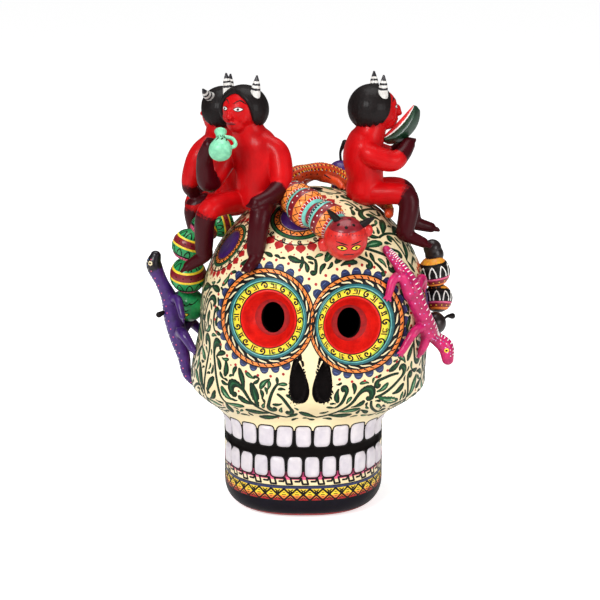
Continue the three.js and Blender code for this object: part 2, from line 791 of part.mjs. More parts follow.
// The seated devils. Places are shares of a devil's height from its seat, along the part's axes.
const bodyGirthShares = {
  torsoWide: [0.2, 0.19, 0.215, 0.22, 0.15, 0.11],
  torsoDeep: [0.165, 0.155, 0.17, 0.16, 0.13, 0.11],
  arm: [0.09, 0.1, 0.092, 0.07, 0.062],
  leg: [0.1, 0.092, 0.078, 0.064, 0.045],
};
const devils = {
  jug_devil: {
    seat: onSkull(-164, 0.942),
    faceTurn: -132,
    chestTurn: -127,
    hornLeanShares: { left: 0.15, right: 0.15 },
    backShares: [
      [0.01, 0.02, 0.11],
      [0.01, 0, 0.25],
      [0.01, 0.02, 0.42],
      [-0.02, 0.03, 0.55],
      [-0.06, 0.02, 0.66],
    ],
    headShare: [-0.1, 0, 0.84],
    limbShares: {
      right_arm: [
        [-0.1, 0.09, 0.56],
        [-0.22, 0.12, 0.46],
        [-0.38, -0.06, 0.25],
        [-0.41, -0.19, 0.45],
        [-0.36, -0.28, 0.59],
      ],
      left_arm: [
        [0.08, -0.05, 0.57],
        [0.19, -0.1, 0.48],
        [0.21, -0.22, 0.26],
        [0.12, -0.36, 0.18],
        [0.01, -0.45, 0.14],
      ],
      right_leg: [
        [-0.1, 0.06, 0.08],
        [-0.38, -0.22, 0.04],
        [-0.43, -0.11, -0.28],
        [-0.43, -0.09, -0.36],
        [-0.57, -0.08, -0.46],
      ],
      left_leg: [
        [0.08, -0.12, 0.08],
        [0.05, -0.44, 0.07],
        [0.01, -0.49, -0.22],
        [0.02, -0.5, -0.28],
        [-0.04, -0.6, -0.34],
      ],
    },
  },
  rear_devil: {
    seat: onSkull(150, 0.884),
    faceTurn: 150,
    chestTurn: 163,
    hornLeanShares: { left: 1.1, right: 0.2 },
    backShares: [
      [-0.07, 0, 0.13],
      [-0.12, -0.02, 0.28],
      [-0.18, -0.03, 0.46],
      [-0.21, -0.03, 0.6],
      [-0.21, -0.03, 0.72],
    ],
    headShare: [-0.19, -0.03, 0.92],
    limbShares: {
      left_arm: [
        [-0.24, -0.1, 0.68],
        [-0.37, -0.19, 0.57],
        [-0.44, -0.2, 0.41],
        [-0.47, -0.19, 0.29],
        [-0.44, -0.15, 0.23],
      ],
      right_arm: [
        [-0.22, 0.08, 0.67],
        [-0.34, 0.17, 0.56],
        [-0.44, 0.23, 0.36],
        [-0.48, 0.23, 0.28],
        [-0.45, 0.2, 0.23],
      ],
      left_leg: [
        [-0.13, -0.09, 0.1],
        [-0.42, -0.13, 0.11],
        [-0.42, -0.12, -0.11],
        [-0.42, -0.12, -0.18],
        [-0.51, -0.14, -0.22],
      ],
      right_leg: [
        [-0.1, 0.11, 0.1],
        [-0.44, 0.2, 0.1],
        [-0.42, 0.17, -0.14],
        [-0.42, 0.17, -0.2],
        [-0.51, 0.17, -0.25],
      ],
    },
  },
  melon_devil: {
    seat: onSkull(-7, 0.956),
    faceTurn: 16,
    chestTurn: 0,
    hornLeanShares: { left: 0.15, right: 0.15 },
    backShares: [
      [-0.02, 0, 0.11],
      [-0.02, 0, 0.23],
      [-0.04, 0, 0.39],
      [-0.02, 0, 0.51],
      [0.02, 0, 0.61],
    ],
    headShare: [0.065, 0, 0.8],
    limbShares: {
      right_arm: [
        [-0.03, -0.1, 0.5],
        [0.02, -0.17, 0.44],
        [0.19, -0.18, 0.39],
        [0.28, -0.13, 0.44],
        [0.33, -0.06, 0.51],
      ],
      left_arm: [
        [-0.03, 0.1, 0.5],
        [0.02, 0.17, 0.43],
        [0.2, 0.2, 0.37],
        [0.28, 0.16, 0.44],
        [0.32, 0.1, 0.5],
      ],
      right_leg: [
        [0.05, -0.1, 0.11],
        [0.32, -0.17, 0.09],
        [0.31, -0.22, -0.16],
        [0.3, -0.22, -0.21],
        [0.46, -0.25, -0.28],
      ],
      left_leg: [
        [0.05, 0.1, 0.11],
        [0.31, 0.22, 0.08],
        [0.39, 0.22, -0.15],
        [0.4, 0.22, -0.2],
        [0.56, 0.23, -0.25],
      ],
    },
  },
};

const sized = (shares) => shares.map((share) => share * devilHeight);

// The head with its chin, nose and ears, facing a turn in degrees.
function devilHead(middle, faceTurn) {
  const forward = direction(Math.cos(radians(faceTurn)), Math.sin(radians(faceTurn)), 0);
  const left = up.clone().cross(forward);
  const at = (ahead, side, rise) =>
    middle
      .clone()
      .addScaledVector(forward, ahead * devilHeight)
      .addScaledVector(left, side * devilHeight)
      .addScaledVector(up, rise * devilHeight);
  const turn = faceTurn + 90;
  const featureShares = [
    { placeShares: [0, 0, 0], radiusShares: [0.165, 0.18, 0.17], sides: 10, rows: 7 },
    { placeShares: [0.095, 0, -0.115], radiusShares: [0.085, 0.08, 0.065], sides: 7, rows: 4 },
    { placeShares: [0.185, 0, -0.025], radiusShares: [0.032, 0.045, 0.05], sides: 5, rows: 4 },
    { placeShares: [0.02, 0.165, -0.03], radiusShares: [0.03, 0.035, 0.045], sides: 5, rows: 4 },
    { placeShares: [0.02, -0.165, -0.03], radiusShares: [0.03, 0.035, 0.045], sides: 5, rows: 4 },
  ];
  return (grow) =>
    featureShares
      .map(({ placeShares, radiusShares, sides, rows }) =>
        lump({ middle: at(...placeShares), radii: sized(radiusShares), turn, sides, rows, grow }),
      )
      .reduce((head, feature) => head.add(feature));
}

// The hair: a cap round the back of the head, cut away from the face and at the neck.
function devilHair(middle, faceTurn) {
  const forward = direction(Math.cos(radians(faceTurn)), Math.sin(radians(faceTurn)), 0);
  const turn = faceTurn + 90;
  const capShares = [0.195, 0.205, 0.2];
  const capMiddle = middle.clone().addScaledVector(forward, -0.02 * devilHeight);
  const block = devilHeight;
  const cut = (ahead, rise, tilt) => {
    const geometry = new THREE.BoxGeometry(block, block, block);
    geometry.translate(0, -block / 2, 0);
    geometry.rotateX(radians(tilt));
    geometry.rotateZ(radians(turn));
    const place = middle
      .clone()
      .addScaledVector(forward, ahead * devilHeight)
      .addScaledVector(up, rise * devilHeight);
    geometry.translate(place.x, place.y, place.z);
    return solid(geometry);
  };
  return (grow) => {
    const cap = lump({ middle: capMiddle, radii: sized(capShares), turn, sides: 9, rows: 6, grow });
    const face = cut(0.12 + grow / devilHeight, 0, 15);
    const neck = cut(-0.02, -0.115 - grow / devilHeight, 78);
    return cap.subtract(face).subtract(neck);
  };
}

function devilHorn(middle, faceTurn, side, leanShare) {
  const forward = direction(Math.cos(radians(faceTurn)), Math.sin(radians(faceTurn)), 0);
  const left = up.clone().cross(forward);
  const root = middle
    .clone()
    .addScaledVector(left, side * devilHeight * 0.135)
    .addScaledVector(forward, devilHeight * 0.02)
    .addScaledVector(up, devilHeight * 0.115);
  const lean = up.clone().addScaledVector(left, side * leanShare).normalize();
  const bend = root.clone().addScaledVector(lean, hornLength * 0.6);
  const tip = bend.clone().addScaledVector(lean, hornLength * 0.35).addScaledVector(up, hornLength * 0.15);
  const wides = [hornRadius, hornRadius * 0.75, hornRadius * 0.2];
  return (grow) => sweep({ line: [root, bend, tip], wides, across: forward, sides: 6, steps: 4, grow });
}

// The jug that the front devil drinks from: a footed body, a waist, a flared mouth and a handle.
function jug(foot, aim) {
  const outlineShares = [
    [0, 0],
    [0.86, 0],
    [1, 0.12],
    [0.98, 0.32],
    [0.66, 0.55],
    [0.4, 0.7],
    [0.42, 0.84],
    [0.56, 1],
    [0.34, 1],
    [0.26, 0.86],
    [0, 0.82],
  ];
  const turned = new THREE.Quaternion().setFromUnitVectors(up, aim);
  return (grow) => {
    const outline = outlineShares.map(([radius, height], i) => [
      radius * (jugRadius + grow),
      height * (jugLength + grow * 2) - grow * (i < outlineShares.length - 2 ? 1 : 0),
    ]);
    const body = lathe(outline, 10);
    body.applyQuaternion(turned);
    body.translate(foot.x, foot.y, foot.z);
    const across = direction(1, 0, 0).applyQuaternion(turned);
    const handleAt = (out, height) =>
      foot.clone().addScaledVector(across, -out * jugRadius).addScaledVector(aim, height * jugLength);
    const line = [handleAt(0.8, 0.28), handleAt(1.32, 0.42), handleAt(1.1, 0.68), handleAt(0.4, 0.78)];
    const wides = line.map(() => jugRadius * 0.17);
    const handle = sweep({ line, wides, across: aim.clone().cross(across), sides: 6, steps: 6, grow });
    return solid(body).add(handle);
  };
}

// The melon slice: a crescent of rind and flesh, thick across, rolled to show its rind in front.
function melonSlice(start, end) {
  const middle = start.clone().lerp(end, 0.5);
  const half = melonLength / 2;
  const crescent = new THREE.Shape();
  crescent.moveTo(-half, 0);
  crescent.quadraticCurveTo(-half * 0.62, -melonDepth * 1.05, 0, -melonDepth);
  crescent.quadraticCurveTo(half * 0.72, -melonDepth * 0.95, half, 0);
  crescent.quadraticCurveTo(0, -melonDepth * 0.3, -half, 0);
  const slope = Math.atan2(end.z - start.z, end.x - start.x);
  return (grow) => {
    const bevelSize = melonThickness * 0.16;
    const geometry = new THREE.ExtrudeGeometry(crescent, {
      depth: melonThickness - 2 * bevelSize,
      bevelEnabled: true,
      bevelSegments: 2,
      bevelThickness: bevelSize,
      bevelSize: bevelSize * 0.6 + grow,
      bevelOffset: -bevelSize * 0.6,
      curveSegments: 6,
    });
    geometry.translate(0, 0, bevelSize - melonThickness / 2);
    geometry.scale(1, 1, 1 + (2 * grow) / melonThickness);
    geometry.rotateX(Math.PI / 2);
    geometry.rotateX(radians(melonRoll));
    geometry.rotateY(-slope);
    geometry.translate(middle.x, middle.y, middle.z);
    return solid(geometry);
  };
}

const held = {
  jug_devil: {
    name: "jug",
    finish: jugGreen,
    fromShares: [-0.27, -0.45, 0.535],
    toShares: [-0.275, -0.25, 0.7],
    form: (foot, mouth) => jug(foot, mouth.clone().sub(foot).normalize()),
  },
  melon_devil: {
    name: "melon_slice",
    finish: rindGreen,
    fromShares: [0.14, 0.01, 0.54],
    toShares: [0.385, 0.01, 0.8],
    form: melonSlice,
  },
};

const onTop = ["skull_shell", "orange_lizard_body", "green_grub_body", "centre_grub_body"];
const standing = [];
for (const [devil, pose] of Object.entries(devils)) {
  const figure = new THREE.Group();
  group.add(figure);
  const at = ([x, y, z]) => pose.seat.clone().add(new THREE.Vector3(x, y, z).multiplyScalar(devilHeight));
  const chest = direction(Math.cos(radians(pose.chestTurn)), Math.sin(radians(pose.chestTurn)), 0);
  const across = up.clone().cross(chest);
  const line = [...pose.backShares, pose.headShare].map(at);
  const head = at(pose.headShare);
  const name = (piece) => `${devil}_${piece}`;
  const torso = (grow) =>
    sweep({
      line,
      wides: sized(bodyGirthShares.torsoWide),
      deeps: sized(bodyGirthShares.torsoDeep),
      across,
      sides: 9,
      steps: 8,
      grow,
      endShare: 0.75,
    });
  add(figure, name("head"), devilHead(head, pose.faceTurn), { ...devilRed, laidOn: standing });
  add(figure, name("torso"), torso, { ...devilRed, laidOn: [...onTop, ...standing, name("head")] });
  add(figure, name("hair"), devilHair(head, pose.faceTurn), {
    ...hairBlack,
    laidOn: [...standing, name("head"), name("torso")],
  });
  const done = [name("head"), name("torso"), name("hair")];
  for (const [side, sign] of Object.entries({ left: 1, right: -1 })) {
    add(figure, name(`${side}_horn`), devilHorn(head, pose.faceTurn, sign, pose.hornLeanShares[side]), {
      ...hornWhite,
      laidOn: [name("head"), name("hair")],
    });
    done.push(name(`${side}_horn`));
  }
  if (held[devil]) {
    const { name: thing, finish, fromShares, toShares, form } = held[devil];
    add(figure, thing, form(at(fromShares), at(toShares)), { ...finish, laidOn: done });
    done.push(thing);
  }
  for (const [limb, limbShares] of Object.entries(pose.limbShares).reverse()) {
    const leg = limb.endsWith("leg");
    const wides = sized(leg ? bodyGirthShares.leg : bodyGirthShares.arm);
    const steps = leg ? 8 : 6;
    const form = (grow) => sweep({ line: limbShares.map(at), wides, across, sides: 6, steps, grow });
    add(figure, name(limb), form, {
      ...(leg ? maroon : devilRed),
      laidOn: [...onTop, ...standing, ...done, "green_grub_head"],
    });
    done.push(name(limb));
  }
  standing.push(...done);
}

export default group;
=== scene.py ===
"""A hand-painted clay skull with seated devils, grubs and lizards, dressed over its CAD frame."""

import math

import bmesh
import bpy
import numpy as np
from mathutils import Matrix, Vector
from mathutils.bvhtree import BVHTree


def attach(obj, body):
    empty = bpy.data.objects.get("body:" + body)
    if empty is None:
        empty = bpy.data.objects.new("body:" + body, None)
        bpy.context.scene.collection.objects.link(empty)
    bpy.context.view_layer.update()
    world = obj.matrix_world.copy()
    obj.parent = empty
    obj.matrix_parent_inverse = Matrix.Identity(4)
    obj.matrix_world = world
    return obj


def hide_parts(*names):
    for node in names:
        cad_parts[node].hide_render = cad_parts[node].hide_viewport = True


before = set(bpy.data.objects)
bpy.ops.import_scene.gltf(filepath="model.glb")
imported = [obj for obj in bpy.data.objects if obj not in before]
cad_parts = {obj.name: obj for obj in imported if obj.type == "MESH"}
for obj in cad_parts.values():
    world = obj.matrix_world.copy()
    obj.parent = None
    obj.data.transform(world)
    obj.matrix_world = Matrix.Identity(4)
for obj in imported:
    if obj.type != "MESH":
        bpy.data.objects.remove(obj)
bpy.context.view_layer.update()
MM = 0.001
UP = np.array([0, 0, 1.0])
rng = np.random.default_rng(7)

# The skull's formula, the same as in the solids, in millimetres.
SKULL_H, JAW_H, CHEEK_H, LIP_H, MUZZLE_H = 171.0, 47.0, 68.0, 53.0, 71.0
DOME_H = SKULL_H * 0.6023
RIM, WALL, FLOOR, CHEEK_SHIFT, SHIFT = 10.0, 6.0, 5.0, 2.5, 6.0
# Half width, reach to the front and reach to the back, each at the jaw, the cheeks and the temples.
HALF_WIDTHS, FRONTS, BACKS = (43.5, 64.0, 62.0), (48.0, 60.0, 62.0), (46.0, 70.0, 78.0)
SOCKET_R, SOCKET_DEPTH, SOCKET_WALL, HOLE_W, HOLE_H = 15.0, 10.0, 4.0, 12.5, 16.0
EYES = ((-108.5, 114.0), (-76.5, 111.0))
LEFT_EYE, RIGHT_EYE = EYES
NOSE_X, NOSE_Z, SLIT_OFF = 4.0, 82.0, 6.5
DEVIL_H = SKULL_H * 0.3743
NUDGE = 0.34


def ease(share):
    return share * share * (3 - 2 * share)


def section(z, inset=0.0):
    """Half width, front, back, shift to the right and squareness of the wall at a height."""
    z = np.asarray(z, float)

    def eased(low, high):
        return ease(np.clip((z - low) / (high - low), 0, 1))

    flare, swell, narrow = eased(JAW_H, CHEEK_H), eased(LIP_H, MUZZLE_H), eased(CHEEK_H, DOME_H)
    rise = np.maximum(0, (z - DOME_H) / (SKULL_H - inset - DOME_H))
    dome = np.sqrt(np.maximum(0, 1 - rise * rise))
    drop = np.clip((RIM - z - inset) / RIM, 0, 1)
    rim = RIM * (1 - np.sqrt(1 - drop * drop))

    def reach(jaw, cheek, temple, share):
        outer = jaw + (cheek - jaw) * share
        return (outer + (temple - outer) * narrow - inset - rim) * dome

    wide, front, back = reach(*HALF_WIDTHS, flare), reach(*FRONTS, swell), reach(*BACKS, flare)
    shift = CHEEK_SHIFT * flare + (SHIFT - CHEEK_SHIFT * flare) * narrow
    return wide, front, back, shift, 2.5 - 0.5 * (1 - dome)


def wall(turn, z, inset=0.0):
    """Points on the wall, or on one set in from it, by way round in degrees and height."""
    turn, z = np.broadcast_arrays(np.asarray(turn, float), np.asarray(z, float))
    wide, front, back, shift, square = section(z, inset)
    c, s = np.cos(np.radians(turn)), np.sin(np.radians(turn))
    power = np.where(s > 0, 1.0, 2 / square)
    reach = np.where(s > 0, back, front)
    x = shift + wide * np.sign(c) * np.abs(c) ** power
    y = reach * np.sign(s) * np.abs(s) ** power
    return np.stack([x, y, z], -1)


def wall_normal(turn, z):
    """Which way the wall faces, measured a nudge below the height so that the crown has one too."""
    z = np.minimum(np.asarray(z, float), SKULL_H - NUDGE) - NUDGE
    around = wall(np.asarray(turn) + 1, z) - wall(np.asarray(turn) - 1, z)
    rise = wall(turn, z + NUDGE) - wall(turn, z - NUDGE)
    n = np.cross(around, rise)
    return n / np.linalg.norm(n, axis=-1, keepdims=True)


def on_skull(turn, share, lift=0.0):
    """A point over the wall, by way round, share of the skull's height and lift in millimetres."""
    z = share * SKULL_H
    return wall(turn, z) + wall_normal(turn, z) * lift


def rho(p):
    """1 on the skull's wall, less inside and more outside."""
    wide, front, back, shift, square = section(p[..., 2])
    ahead = p[..., 1] < 0
    q = np.where(ahead, square, 2.0)
    x = np.abs(p[..., 0] - shift) / np.maximum(wide, 1e-3)
    y = np.abs(p[..., 1]) / np.maximum(np.where(ahead, front, back), 1e-3)
    return (x**q + y**q) ** (1 / q)


def skull_gradient(p):
    steps = np.eye(3) * 0.15
    n = np.stack([rho(p + s) - rho(p - s) for s in steps], -1)
    return n / np.linalg.norm(n, axis=-1, keepdims=True)


def unit(v):
    v = np.asarray(v, float)
    return v / np.linalg.norm(v)


def cos_sin(degrees):
    return math.cos(math.radians(degrees)), math.sin(math.radians(degrees))


def circle(count):
    return np.linspace(0, 2 * math.pi, count, endpoint=False)


def spokes(count):
    return [2 * math.pi * k / count for k in range(count)]


def polar(radius, angles, centre=(0, 0)):
    return np.stack([centre[0] + radius * np.cos(angles), centre[1] + radius * np.sin(angles)], 1)


def grid_faces(across, up):
    """The faces of a sheet of points that are numbered row by row."""
    row = across + 1
    corners = [(j * row + i, (j + 1) * row + i) for j in range(up) for i in range(across)]
    return [(low, low + 1, high + 1, high) for low, high in corners]


class Chart:
    """A flat sheet laid on the skull: (across, up) in millimetres from its middle."""

    lowest, highest, halvings = -45.0, 20.0, 15

    def __init__(self, turn, z, roll=0.0, up=(0, 0, 1)):
        self.o = wall(turn, z)
        self.n = wall_normal(turn, z)
        side = unit(np.cross(up, self.n))
        rise = np.cross(self.n, side)
        c, s = cos_sin(roll)
        self.u, self.v = side * c + rise * s, rise * c - side * s

    def __call__(self, uv, lift):
        uv = np.asarray(uv, float)
        start = self.o + uv[:, :1] * self.u + uv[:, 1:] * self.v
        low, high = np.full(len(uv), self.lowest), np.full(len(uv), self.highest)
        for _ in range(self.halvings):
            mid = (low + high) / 2
            inside = rho(start + mid[:, None] * self.n) < 1
            low, high = np.where(inside, mid, low), np.where(inside, high, mid)
        p = start + low[:, None] * self.n
        return p + skull_gradient(p) * np.asarray(lift, float).reshape(-1, 1)


class Band:
    """A belt round the jaw: (way round from the middle of the face, height)."""

    turns = np.linspace(-270, 90, 1441)

    def __init__(self, level, relief=None):
        p = wall(self.turns, level)
        run = np.concatenate([[0], np.cumsum(np.linalg.norm(np.diff(p, axis=0), axis=1))])
        self.run = run - np.interp(-90, self.turns, run)
        self.girth = run[-1]
        self.relief = relief

    def turn(self, s):
        return np.interp(s, self.run, self.turns)

    def __call__(self, uv, lift):
        uv = np.asarray(uv, float)
        turn = self.turn(uv[:, 0])
        lift = np.asarray(lift, float).reshape(-1, 1) + np.zeros((len(uv), 1))
        if self.relief:
            lift = lift + self.relief(uv[:, 0], uv[:, 1]).reshape(-1, 1)
        return wall(turn, uv[:, 1]) + wall_normal(turn, uv[:, 1]) * lift


class Hit:
    """A flat sheet pressed onto any finished piece along one direction."""

    def __init__(self, tree, origin, look, up=(0, 0, 1), reach=30.0):
        self.tree, self.reach = tree, reach
        self.n = -unit(look)
        self.u = unit(np.cross(up, self.n))
        self.v = np.cross(self.n, self.u)
        self.o = np.asarray(origin, float)

    def __call__(self, uv, lift):
        lift = np.asarray(lift, float).reshape(-1) + np.zeros(len(uv))
        out = []
        for (a, b), up in zip(np.asarray(uv, float), lift):
            start = self.o + a * self.u + b * self.v + self.n * self.reach
            place, normal, _, _ = self.tree.ray_cast(Vector(start * MM), Vector(-self.n))
            if place is None:
                place, normal, _, _ = self.tree.find_nearest(Vector((start - self.n * self.reach) * MM))
            out.append(np.array(place) / MM + np.array(normal) * up)
        return np.array(out)


def link(name, data):
    piece = bpy.data.objects.new(name, data)
    bpy.context.scene.collection.objects.link(piece)
    return piece


def smooth_faces(mesh):
    mesh.polygons.foreach_set("use_smooth", [True] * len(mesh.polygons))


def dress(piece, color, slot, *nodes):
    piece.data.materials.clear()
    piece.data.materials.append(PAINT[color])
    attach(piece, "root")
    if nodes:
        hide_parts(*nodes)


class Bag:
    """The points and faces of one piece, in millimetres, gathered stroke by stroke."""

    def __init__(self):
        self.v, self.f, self.n = [], [], 0

    def add(self, points, faces):
        self.v.append(np.asarray(points, float))
        self.f.extend([tuple(i + self.n for i in face) for face in faces])
        self.n += len(points)

    def mesh(self, name, color, slot="skull_cream"):
        made = bpy.data.meshes.new(name)
        made.from_pydata((np.concatenate(self.v) * MM).tolist(), [], self.f)
        made.update()
        smooth_faces(made)
        dress(link(name, made), color, slot)


def resample(points, count):
    points = np.asarray(points, float)
    spread = np.linspace(0, len(points) - 1, count)
    return catmull(points, spread / (len(points) - 1))


def catmull(points, shares):
    """A smooth line through points, read at shares of its way."""
    points = np.asarray(points, float)
    n = len(points)
    padded = np.vstack([2 * points[0] - points[1], points, 2 * points[-1] - points[-2]])
    t = np.clip(np.asarray(shares, float), 0, 1) * (n - 1)
    i = np.minimum(t.astype(int), n - 2)
    w = (t - i)[:, None]
    p0, p1, p2, p3 = padded[i], padded[i + 1], padded[i + 2], padded[i + 3]
    a = (p2 - p0) * 0.5
    b = (p3 - p1) * 0.5
    return (2 * p1 - 2 * p2 + a + b) * w**3 + (-3 * p1 + 3 * p2 - 2 * a - b) * w**2 + a * w + p1


def stroke(bag, chart, points, widths, lift=0.1, closed=False):
    """A brush stroke: a low raised ribbon along a line, widths being its full width."""
    p = np.asarray(points, float)
    n = len(p)
    widths = np.broadcast_to(np.asarray(widths, float), (n,)) / 2
    if closed:
        along = np.roll(p, -1, 0) - np.roll(p, 1, 0)
    else:
        along = np.gradient(p, axis=0)
    along = along / np.maximum(np.linalg.norm(along, axis=1, keepdims=True), 1e-9)
    if not closed:
        head, tail = p[0] - along[0] * widths[0] * 0.9, p[-1] + along[-1] * widths[-1] * 0.9
        p = np.vstack([head, p[0] - along[0] * widths[0] * 0.5, p, p[-1] + along[-1] * widths[-1] * 0.5,
                       tail])
        widths = np.concatenate([[0.02, widths[0] * 0.8], widths, [widths[-1] * 0.8, 0.02]])
        along = np.vstack([along[:1], along[:1], along, along[-1:], along[-1:]])
        n += 4
    across = np.stack([-along[:, 1], along[:, 0]], 1)
    rows = np.array([-1.0, -0.6, 0.6, 1.0])
    uv = p[:, None, :] + across[:, None, :] * (rows[None, :] * widths[:, None])[:, :, None]
    lifts = np.tile([-0.03, lift, lift, -0.03], n)
    faces = []
    last = n if closed else n - 1
    for i in range(last):
        j = (i + 1) % n
        for k in range(3):
            faces.append((i * 4 + k, j * 4 + k, j * 4 + k + 1, i * 4 + k + 1))
    bag.add(chart(uv.reshape(-1, 2), lifts), [f[::-1] for f in faces])


def dot(bag, chart, centre, radius, lift=0.12, sides=9, long=1.0, turn=0.0):
    """A low round spot, or an oval one where long isn't 1."""
    a = circle(sides)
    c, s = math.cos(turn), math.sin(turn)
    uv, lifts = [], []
    for share, rise in ((1.0, -0.03), (0.68, lift), (0.0, lift)):
        x, y = np.cos(a) * radius * share * long, np.sin(a) * radius * share
        ring = np.stack([x * c - y * s + centre[0], x * s + y * c + centre[1]], 1)
        if share == 0.0:
            ring = ring[:1]
        uv.append(ring)
        lifts += [rise] * len(ring)
    faces = []
    for i in range(sides):
        j = (i + 1) % sides
        faces.append((i, j, sides + j, sides + i))
        faces.append((sides + i, sides + j, 2 * sides))
    bag.add(chart(np.vstack(uv), lifts), faces)


def almond(bag, chart, centre, long, high, lift, slant=0.0):
    """An eye's shape, pointed at both corners."""
    t = np.linspace(-1, 1, 9)
    line = np.stack([centre[0] + t * long, centre[1] + slant * t * long], 1)
    stroke(bag, chart, line, np.maximum(0.15, 2 * high * (1 - t * t) ** 0.8), lift)


def belt(bag, chart, inner, outer, lift=0.05, seg=96, rings=2, centre=(0, 0)):
    """A painted ring between two radii."""
    a = circle(seg)
    shares = [0.0, *np.linspace(0.02, 0.98, rings + 1), 1.0]
    rises = [-0.03] + [lift] * (rings + 1) + [-0.03]
    uv, lifts = [], []
    for share, rise in zip(shares, rises):
        uv.append(polar(np.full(seg, float(inner + (outer - inner) * share)), a, centre))
        lifts += [rise] * seg
    faces = []
    for k in range(len(shares) - 1):
        for i in range(seg):
            j = (i + 1) % seg
            faces.append((k * seg + i, (k + 1) * seg + i, (k + 1) * seg + j, k * seg + j))
    bag.add(chart(np.vstack(uv), lifts), faces)


def sheet(bag, chart, corners, nu, nv, lift=0.05):
    """A painted four-cornered patch, divided so that it follows the wall."""
    a, b, c, d = [np.asarray(p, float) for p in corners]
    u, v = np.meshgrid(np.linspace(0, 1, nu + 1), np.linspace(0, 1, nv + 1))
    u, v = u.reshape(-1, 1), v.reshape(-1, 1)
    uv = (a * (1 - u) + b * u) * (1 - v) + (d * (1 - u) + c * u) * v
    edge = ((u <= 0) | (u >= 1) | (v <= 0) | (v >= 1)).reshape(-1)
    bag.add(chart(uv, np.where(edge, lift * 0.4, lift)), grid_faces(nu, nv))


def arc(centre, radius, start, stop, count=10):
    return polar(radius, np.radians(np.linspace(start, stop, count)), centre)


def spiral(centre, r0, r1, start, sweep, count=18):
    t = np.linspace(0, 1, count)
    return polar(r0 + (r1 - r0) * t, np.radians(start + sweep * t), centre)


def ring_point(r, angle):
    return np.array([r * math.cos(angle), r * math.sin(angle)])


# Materials: brushed paint under varnish.
def lin(color):
    """A colour given as it looks on screen, turned into light."""
    return (*[((c + 0.055) / 1.055) ** 2.4 if c > 0.04045 else c / 12.92 for c in color], 1)


def add_node(tree, kind, **values):
    """A shader node with the values of its inputs, in whose names a _ stands for a space."""
    made = tree.nodes.new("ShaderNode" + kind)
    for key, value in values.items():
        made.inputs[key.replace("_", " ")].default_value = value
    return made


def paint(name, color, other, blotch=420.0, share=0.5, rough=0.38, coat=0.3, gloss=0.3, bump=0.25,
          fine=2200.0, tone=None):
    """Blotchy colour, uneven gloss and brushed relief. Where a piece's shade is painted, it turns to tone."""
    made = bpy.data.materials.new(name)
    made.use_nodes = True
    tree = made.node_tree
    join = tree.links.new
    bsdf = tree.nodes["Principled BSDF"]
    place = add_node(tree, "TexCoord").outputs["Object"]

    def noise(**values):
        texture = add_node(tree, "TexNoise", **values)
        join(place, texture.inputs["Vector"])
        return texture.outputs["Fac"]

    blotches = noise(Scale=blotch, Detail=6, Roughness=0.62)
    ramp = add_node(tree, "ValToRGB")
    dark, light = ramp.color_ramp.elements
    dark.position, dark.color = 0.5 - share / 2, lin(other)
    light.position, light.color = 0.5 + share / 4, lin(color)
    join(blotches, ramp.inputs["Fac"])
    out = ramp.outputs["Color"]
    if tone:
        shaded = add_node(tree, "Attribute")
        shaded.attribute_name = "shade"
        add = add_node(tree, "Math")
        add.operation = "MULTIPLY_ADD"
        join(noise(Scale=700, Detail=5), add.inputs[0])
        add.inputs[1].default_value = 0.5
        join(shaded.outputs["Fac"], add.inputs[2])
        cut = add_node(tree, "MapRange", From_Min=0.62, From_Max=0.9)
        join(add.outputs[0], cut.inputs["Value"])
        mix = add_node(tree, "Mix")
        mix.data_type = "RGBA"
        join(cut.outputs["Result"], mix.inputs["Factor"])
        join(out, mix.inputs["A"])
        mix.inputs["B"].default_value = lin(tone)
        out = mix.outputs["Result"]
    join(out, bsdf.inputs["Base Color"])
    relief = add_node(tree, "Bump", Strength=bump, Distance=0.0004)
    join(noise(Scale=fine, Detail=4), relief.inputs["Height"])
    join(relief.outputs["Normal"], bsdf.inputs["Normal"])
    sheen = add_node(tree, "MapRange", To_Min=rough - 0.08, To_Max=rough + 0.14)
    join(blotches, sheen.inputs["Value"])
    join(sheen.outputs["Result"], bsdf.inputs["Roughness"])
    bsdf.inputs["Coat Weight"].default_value = coat
    bsdf.inputs["Coat Roughness"].default_value = 0.12
    bsdf.inputs["Specular IOR Level"].default_value = gloss
    return made


MATT = {"rough": 0.45, "coat": 0.1, "gloss": 0.15}
